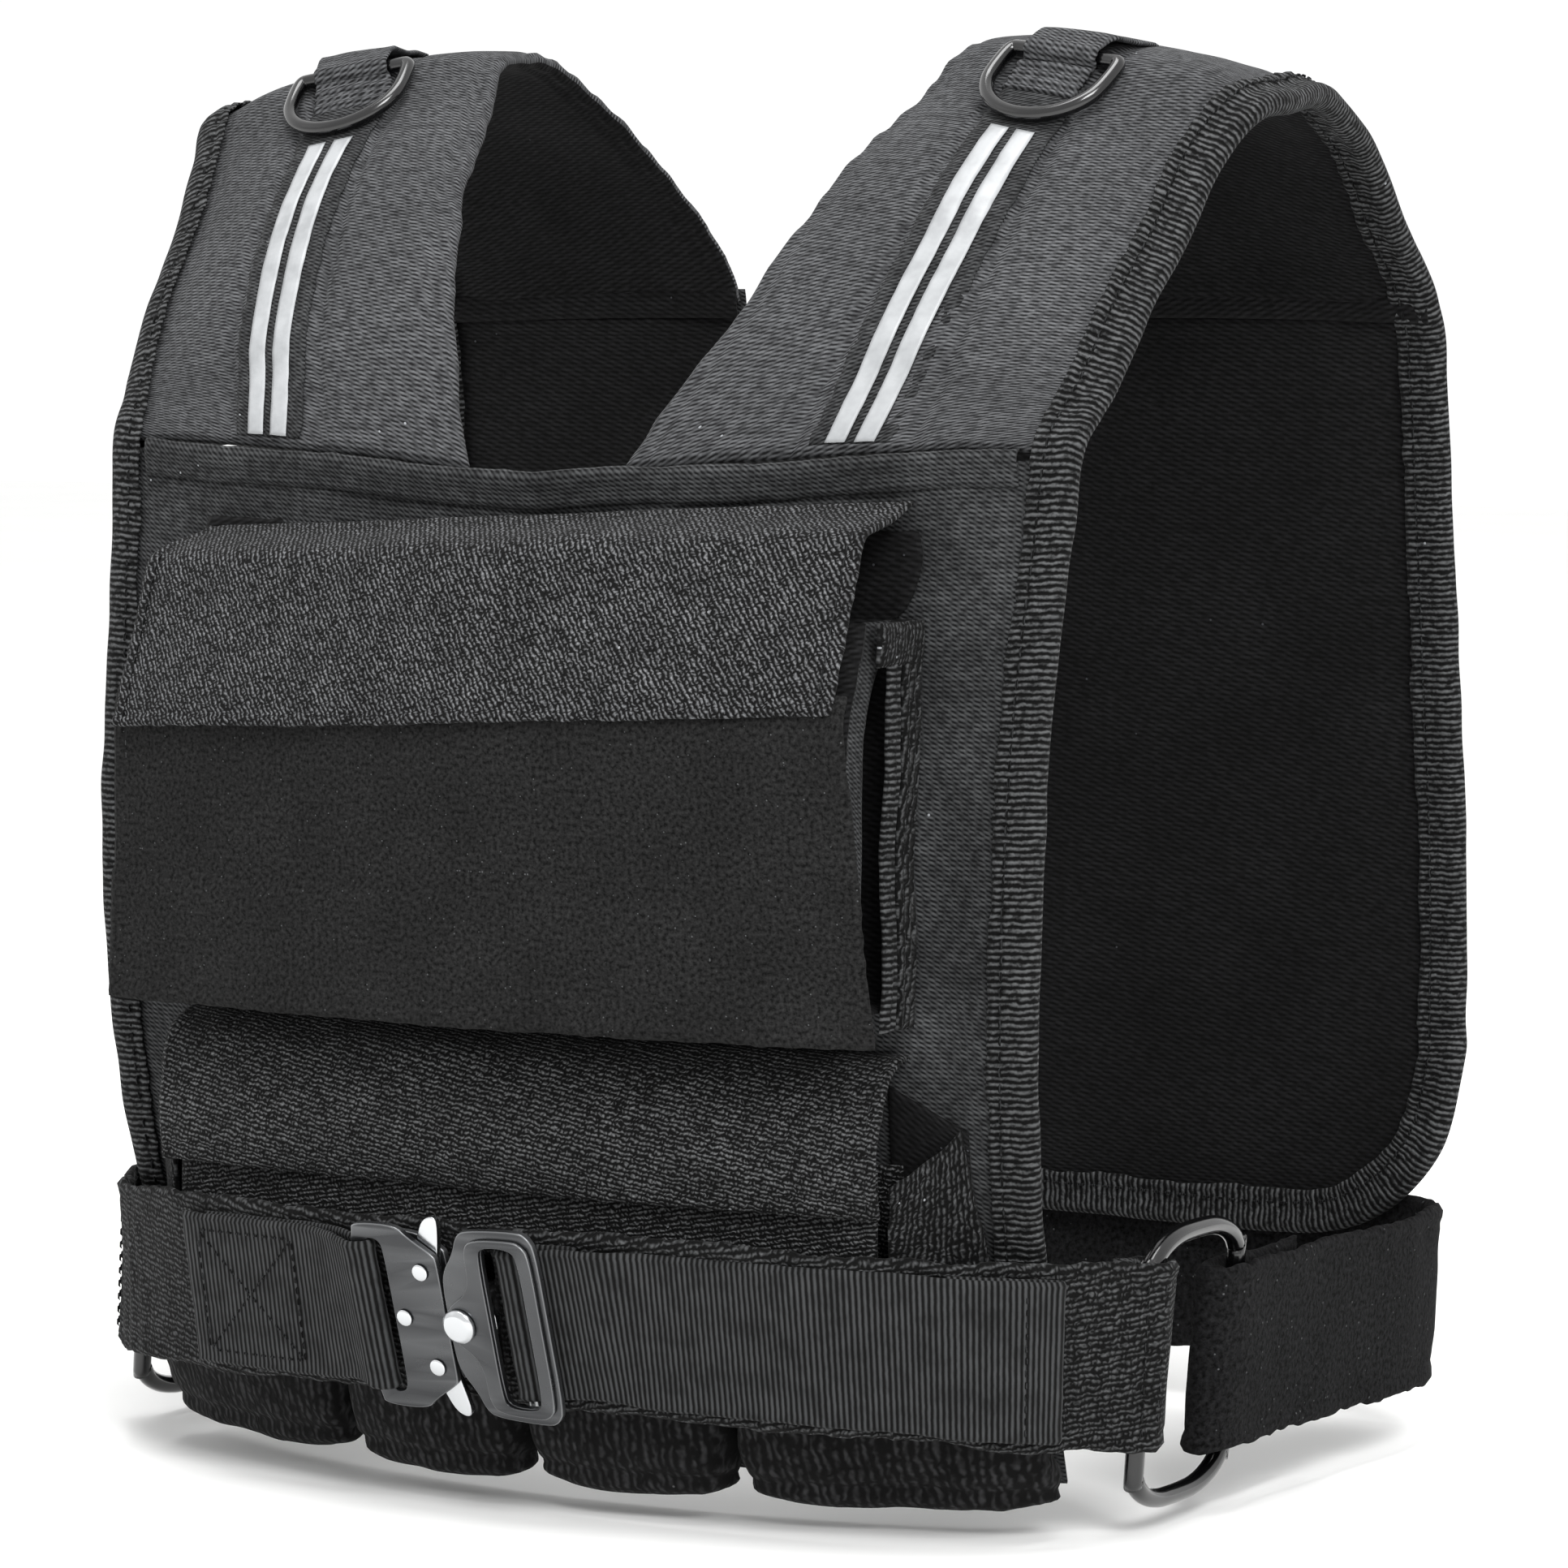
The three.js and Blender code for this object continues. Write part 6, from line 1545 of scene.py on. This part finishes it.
for name, sign in (("top", 1), ("bottom", -1)):
    s, t = rivets[name]
    outline = [(s + x, sign * (abs(t) + y)) for x, y in leverOutline]
    piece = platePiece(f"release_lever_{name}", outline, [disc(s, t, rivetPin + buckle["clear"])], leverLift,
                       buckle["lever"], polishedSteel, 2, 0.5)
    sew(piece, "steel", f"lever_{name}", body="upper_lever" if sign > 0 else "lower_lever")
for name, (s, t) in rivets.items():
    low, high, r = -buckle["clear"], stackTop + buckle["clear"], buckle["rivet"]
    dome = [(high, rivetPin), (high, r), (high + 0.35, r)] + [
        (high + 0.35 + 0.55 * sin(a), r * cos(a) * 0.98 + 0.02) for a in np.linspace(0.25, 1.5, 6)]
    profile = [(low - buckle["head"], r * 0.85), (low, r), (low, rivetPin)] + dome
    sew(turnedPiece(f"buckle_rivet_{name}", s, t, profile, polishedSteel), "steel", f"rivet_{name}")
insertHalf = [(0, 0), (0, 0.82), (0.06, 0.95), (0.16, 1), (0.68, 0.97), (0.78, 0.9), (0.84, 0.72),
              (0.98, 0.5), (1, 0.28), (1, 0)]
insertSlot = [(0.17, 0), (0.17, 0.7), (0.22, buckle["slot"]), (0.52, buckle["slot"]), (0.56, 0.7), (0.56, 0)]
rimHalf = [(0.045, 0), (0.045, 0.78), (0.11, 0.88), (0.2, 0.92), (0.6, 0.9), (0.7, 0.8), (0.7, 0.5),
           (0.75, 0.33), (0.92, 0.2), (0.98, 0.1), (0.98, 0)]
insertSize = (buckle["insertRight"], buckle["insertWidth"], buckle["frameHeight"] / 2)
insertHoles = [bothHalves(insertSlot, *insertSize), disc(0, 0, buckle["studPin"] + buckle["clear"])]
sew(platePiece("insert_frame", bothHalves(insertHalf, *insertSize), insertHoles, frontLift, buckle["plate"],
               plateAluminium), "black_plate", "buckle_frame")
sew(platePiece("insert_rim", bothHalves(rimHalf, *insertSize), insertHoles, rimLift, buckle["rim"],
               plateAluminium, 2, 0.4), "black_plate", "buckle_rim")
tongue = [(10.4, -8), (10.4, 8), (-13, 8), (-15.6, 4.8), (-15.6, -4.8), (-13, -8)]
sew(platePiece("insert_tongue", tongue, insertHoles[1:], leverLift, buckle["lever"], polishedSteel, 2, 0.3),
    "steel", "buckle_tongue")
top = rimTop + buckle["clear"]
foot = leverLift - buckle["clear"]
# Rise and radius of the stud's head, from its rim up to its flat top
studHead = [(0, 5.5), (0.2, 5.6), (1.1, 5.6), (1.5, 5.3), (2.1, 4.5), (2.35, 4.1), (2.4, 3.9)]
studProfile = [(foot - buckle["head"], buckle["studFoot"]), (foot, buckle["studFoot"]),
               (foot, buckle["studPin"]), (top, buckle["studPin"])]
studProfile += [(top + rise, radius) for rise, radius in studHead]
sew(turnedPiece("buckle_stud_head", 0, 0, studProfile, polishedSteel, 56), "steel", "buckle_stud")
slideBar = {"radius": 1.8, "endRadius": 1.2, "bevel": 0.5, "sides": 24, "place": 0.365, "half": 0.455}
barRadius, barSides = slideBar["radius"], slideBar["sides"]
slotMiddle = buckle["insertRight"] - buckle["insertWidth"] * slideBar["place"]
slideLift = frontLift - buckle["clear"] - barRadius
barHalf = buckle["frameHeight"] * slideBar["half"]
barStations = [(-barHalf, slideBar["endRadius"]), (-barHalf + slideBar["bevel"], barRadius),
               (barHalf - slideBar["bevel"], barRadius), (barHalf, slideBar["endRadius"])]
bar = []
for t, r in barStations:
    bar.append([inBuckle(slotMiddle + r * cos(a), t, slideLift + r * sin(a))
                for a in np.linspace(0, 2 * pi, barSides, False)])
barFaces = [list(range(barSides - 1, -1, -1)), [3 * barSides + k for k in range(barSides)]]
for i in range(3):
    for k in range(barSides):
        j, at = (k + 1) % barSides, i * barSides
        barFaces.append([at + k, at + j, at + barSides + j, at + barSides + k])
sew(meshPiece("slide_bar", np.array(bar).reshape(-1, 3), barFaces, [polishedSteel]), "steel",
    "buckle_slide_bar")
print("buckle made")

# Webbing: each run lies on the belt, lifts to the buckle, turns round a bar and comes back underneath
web = {"width": 50, "thickness": 1.8, "flatReach": 48, "gap": 0.6, "endStitch": 165.0, "endStitchHalf": 24}
barTurn = barRadius + buckle["clear"] + web["thickness"] / 2
beltLift = buckle["stand"] + belt["thickness"] / 2
onBeltLift = -buckle["stand"] + web["gap"] + web["thickness"] / 2
secondLift = onBeltLift + web["thickness"] + 0.3
wingX, wingYs = [0] + [x for x, _ in wingPlan[:8]], [1] + [y for _, y in wingPlan[:8]]


def onBelt(x, t, lift):
    def place(px, pt):
        y = -belt["front"] * np.interp(abs(px) / belt["side"], wingX, wingYs)
        drop = beltMiddle(y)
        return leaning((px, y, -drop + pt), drop)
    point = place(x, t)
    return point + unit(np.cross(place(x + 4, t) - place(x - 4, t), place(x, t + 1) - point)) * lift


def webbingControl(path):
    rows = []
    for s, lift in path:
        rows.append([inBuckle(s, t * web["width"], lift) if abs(s) <= web["flatReach"]
                     else onBelt(s, t * web["width"], lift + beltLift) for t in np.linspace(-0.5, 0.5, 5)])
    return np.array(rows)


def webRelief(across, along, grid):
    side = np.minimum(across, across.max() - across)
    return 0.3 * lumps(grid * [1, 1, 0.5], 15, 72) + 0.15 * lumps(grid, 5, 73), 0.25 * bell(side - 1.2, 1.2)


barLeft = buckle["receiverRight"] - buckle["receiverWidth"]
slotLeft = buckle["receiverRight"] - buckle["receiverWidth"] * 0.84
underBar = frontLift - buckle["clear"] - web["thickness"] / 2
overBar = stackTop + buckle["clear"] + web["thickness"] / 2
# Place along the belt and lift above it, point by point along each run
foldedRun = [(-104, onBeltLift), (-80, onBeltLift), (-59, onBeltLift), (barLeft - 8, underBar * 0.15),
             (barLeft, underBar - 0.1), (slotLeft - 0.5, underBar), (slotLeft + 1.9, underBar + 1.2),
             (slotLeft + 1.9, overBar - 1.2), (slotLeft - 0.5, overBar), (barLeft, overBar + 0.3),
             (barLeft - 8, underBar + 0.6), (-59, secondLift), (-80, secondLift), (-104, secondLift),
             (-112, secondLift)]
longRun = [(148, onBeltLift), (163, onBeltLift), (170, onBeltLift), (172.3, (onBeltLift + secondLift) / 2),
           (170, secondLift), (163, secondLift), (150, secondLift), (138, onBeltLift), (124, onBeltLift),
           (110, onBeltLift), (92, onBeltLift), (75, onBeltLift), (59, onBeltLift), (47, secondLift),
           (38, secondLift + 0.3), (buckle["insertRight"] - 1.5, secondLift + 1.4),
           (slotMiddle + barTurn * 2.1, slideLift + 0.5), (slotMiddle + barTurn, slideLift + barTurn * 0.9),
           (slotMiddle, slideLift + barTurn), (slotMiddle - barTurn * 0.75, slideLift + barTurn * 0.75),
           (slotMiddle - barTurn, slideLift), (slotMiddle - barTurn * 0.75, slideLift - barTurn * 0.75),
           (slotMiddle, slideLift - barTurn), (slotMiddle + 6, slideLift - barTurn - 0.5), (40, onBeltLift)]
for name, run, node in (("webbing_folded", foldedRun, "webbing_right"),
                        ("webbing_long", longRun, "webbing_left")):
    piece = clothPiece(name, webbingControl(run), -web["thickness"] / 2, web["thickness"] / 2, [webbingNylon],
                       step=1.3, relief=webRelief, ragged=0.25, fray=74)
    sew(piece, "webbing", node)


def beltLine(first, last, lift, count=40):
    # A straight row of stitches on the face of the webbing, between two places (s, t)
    places = list(zip(np.linspace(first[0], last[0], count), np.linspace(first[1], last[1], count)))
    points = [onBelt(s, t, beltLift + lift) for s, t in places]
    return points, [unit(onBelt(s, t, beltLift + lift + 1) - point) for point, (s, t) in zip(points, places)]


box = {"from": -106, "to": -66, "half": 20, "lift": secondLift + web["thickness"] / 2 + 0.25}
corners = [(box["from"], -box["half"]), (box["from"], box["half"]), (box["to"], box["half"]),
           (box["to"], -box["half"])]
boxLines = [beltLine(corners[i], corners[(i + 1) % 4], box["lift"]) for i in range(4)]
boxLines += [beltLine(corners[0], corners[2], box["lift"]), beltLine(corners[1], corners[3], box["lift"])]
sew(stitchPiece("webbing_box_stitches", boxLines, 2.6, 1.2, 0.8, 0.4), "webbing")
endLine = beltLine((web["endStitch"], -web["endStitchHalf"]), (web["endStitch"], web["endStitchHalf"]),
                   box["lift"])
sew(stitchPiece("webbing_end_stitches", [endLine], 2.6, 1.2, 0.8, 0.4), "webbing")
print("webbing laid")

# Pale floor, soft studio light and the camera
stage = {"floor": -449.0, "floorSize": 9.0, "floorColour": "#fbfbfa", "world": "#ffffff",
         "worldStrength": 1.04}
floorMesh = bpy.data.meshes.new("floor")
half = stage["floorSize"]
floorCorners = [(x * half, y * half, stage["floor"] * mm) for x, y in ((-1, -1), (1, -1), (1, 1), (-1, 1))]
floorMesh.from_pydata(floorCorners, [], [(0, 1, 2, 3)])
floorPiece = bpy.data.objects.new("floor", floorMesh)
bpy.context.scene.collection.objects.link(floorPiece)
# Painted studio paper: matt, faintly mottled
paper, paperTree, paperShader = surfaceOf("matteStudioPaper", {"Roughness": 0.95, "Specular IOR Level": 0.1})
mottle = addNode(paperTree, "ValToRGB",
                 {"stops": [(0.3, linear("#f9f9f8")), (0.7, linear(stage["floorColour"]))]},
                 {0: cloudy(paperTree, clothCoordinates(paperTree, None), 300.0)})
paperTree.links.new(mottle.outputs[0], paperShader.inputs["Base Color"])
floorMesh.materials.append(paper)
world = bpy.data.worlds.new("studio")
bpy.context.scene.world = world
world.use_nodes = True
world.node_tree.nodes["Background"].inputs[0].default_value = linear(stage["world"])
world.node_tree.nodes["Background"].inputs[1].default_value = stage["worldStrength"]
bpy.context.scene.view_settings.view_transform = "Standard"

lightsAt = {  # name: place, target, size, watts
    "keyRight": ((1.9, -1.7, 1.7), (0.1, -0.1, -0.2), 1.1, 62),
    "fillLeft": ((-1.9, -1.6, 1.0), (0.0, 0.0, -0.2), 1.2, 1),
    "topSoft": ((0.0, -0.3, 2.1), (0.0, 0.0, 0.0), 1.2, 34),
}
for name, (place, target, size, watts) in lightsAt.items():
    light = bpy.data.lights.new(name, "AREA")
    light.shape, light.size, light.energy = "SQUARE", size, watts
    lamp = bpy.data.objects.new(name, light)
    lamp.location = place
    lamp.rotation_euler = (Vector(target) - Vector(place)).to_track_quat("-Z", "Y").to_euler()
    bpy.context.scene.collection.objects.link(lamp)

shot = {"azimuth": 31.0, "elevation": 4.5, "distance": 1900.0, "lens": 135.65, "sensor": 36.0,
        "target": (22.4, 0.0, -231.3)}
camera = bpy.data.cameras.new("photoView")
camera.lens, camera.sensor_width, camera.clip_end = shot["lens"], shot["sensor"], 50.0
a, e = radians(shot["azimuth"]), radians(shot["elevation"])
back = Vector((sin(a) * cos(e), -cos(a) * cos(e), sin(e)))
eye = bpy.data.objects.new("photoView", camera)
eye.location = (Vector(shot["target"]) + back * shot["distance"]) * mm
eye.rotation_euler = (-back).to_track_quat("-Z", "Y").to_euler()
bpy.context.scene.collection.objects.link(eye)
bpy.context.scene.camera = eye
print("stage set")
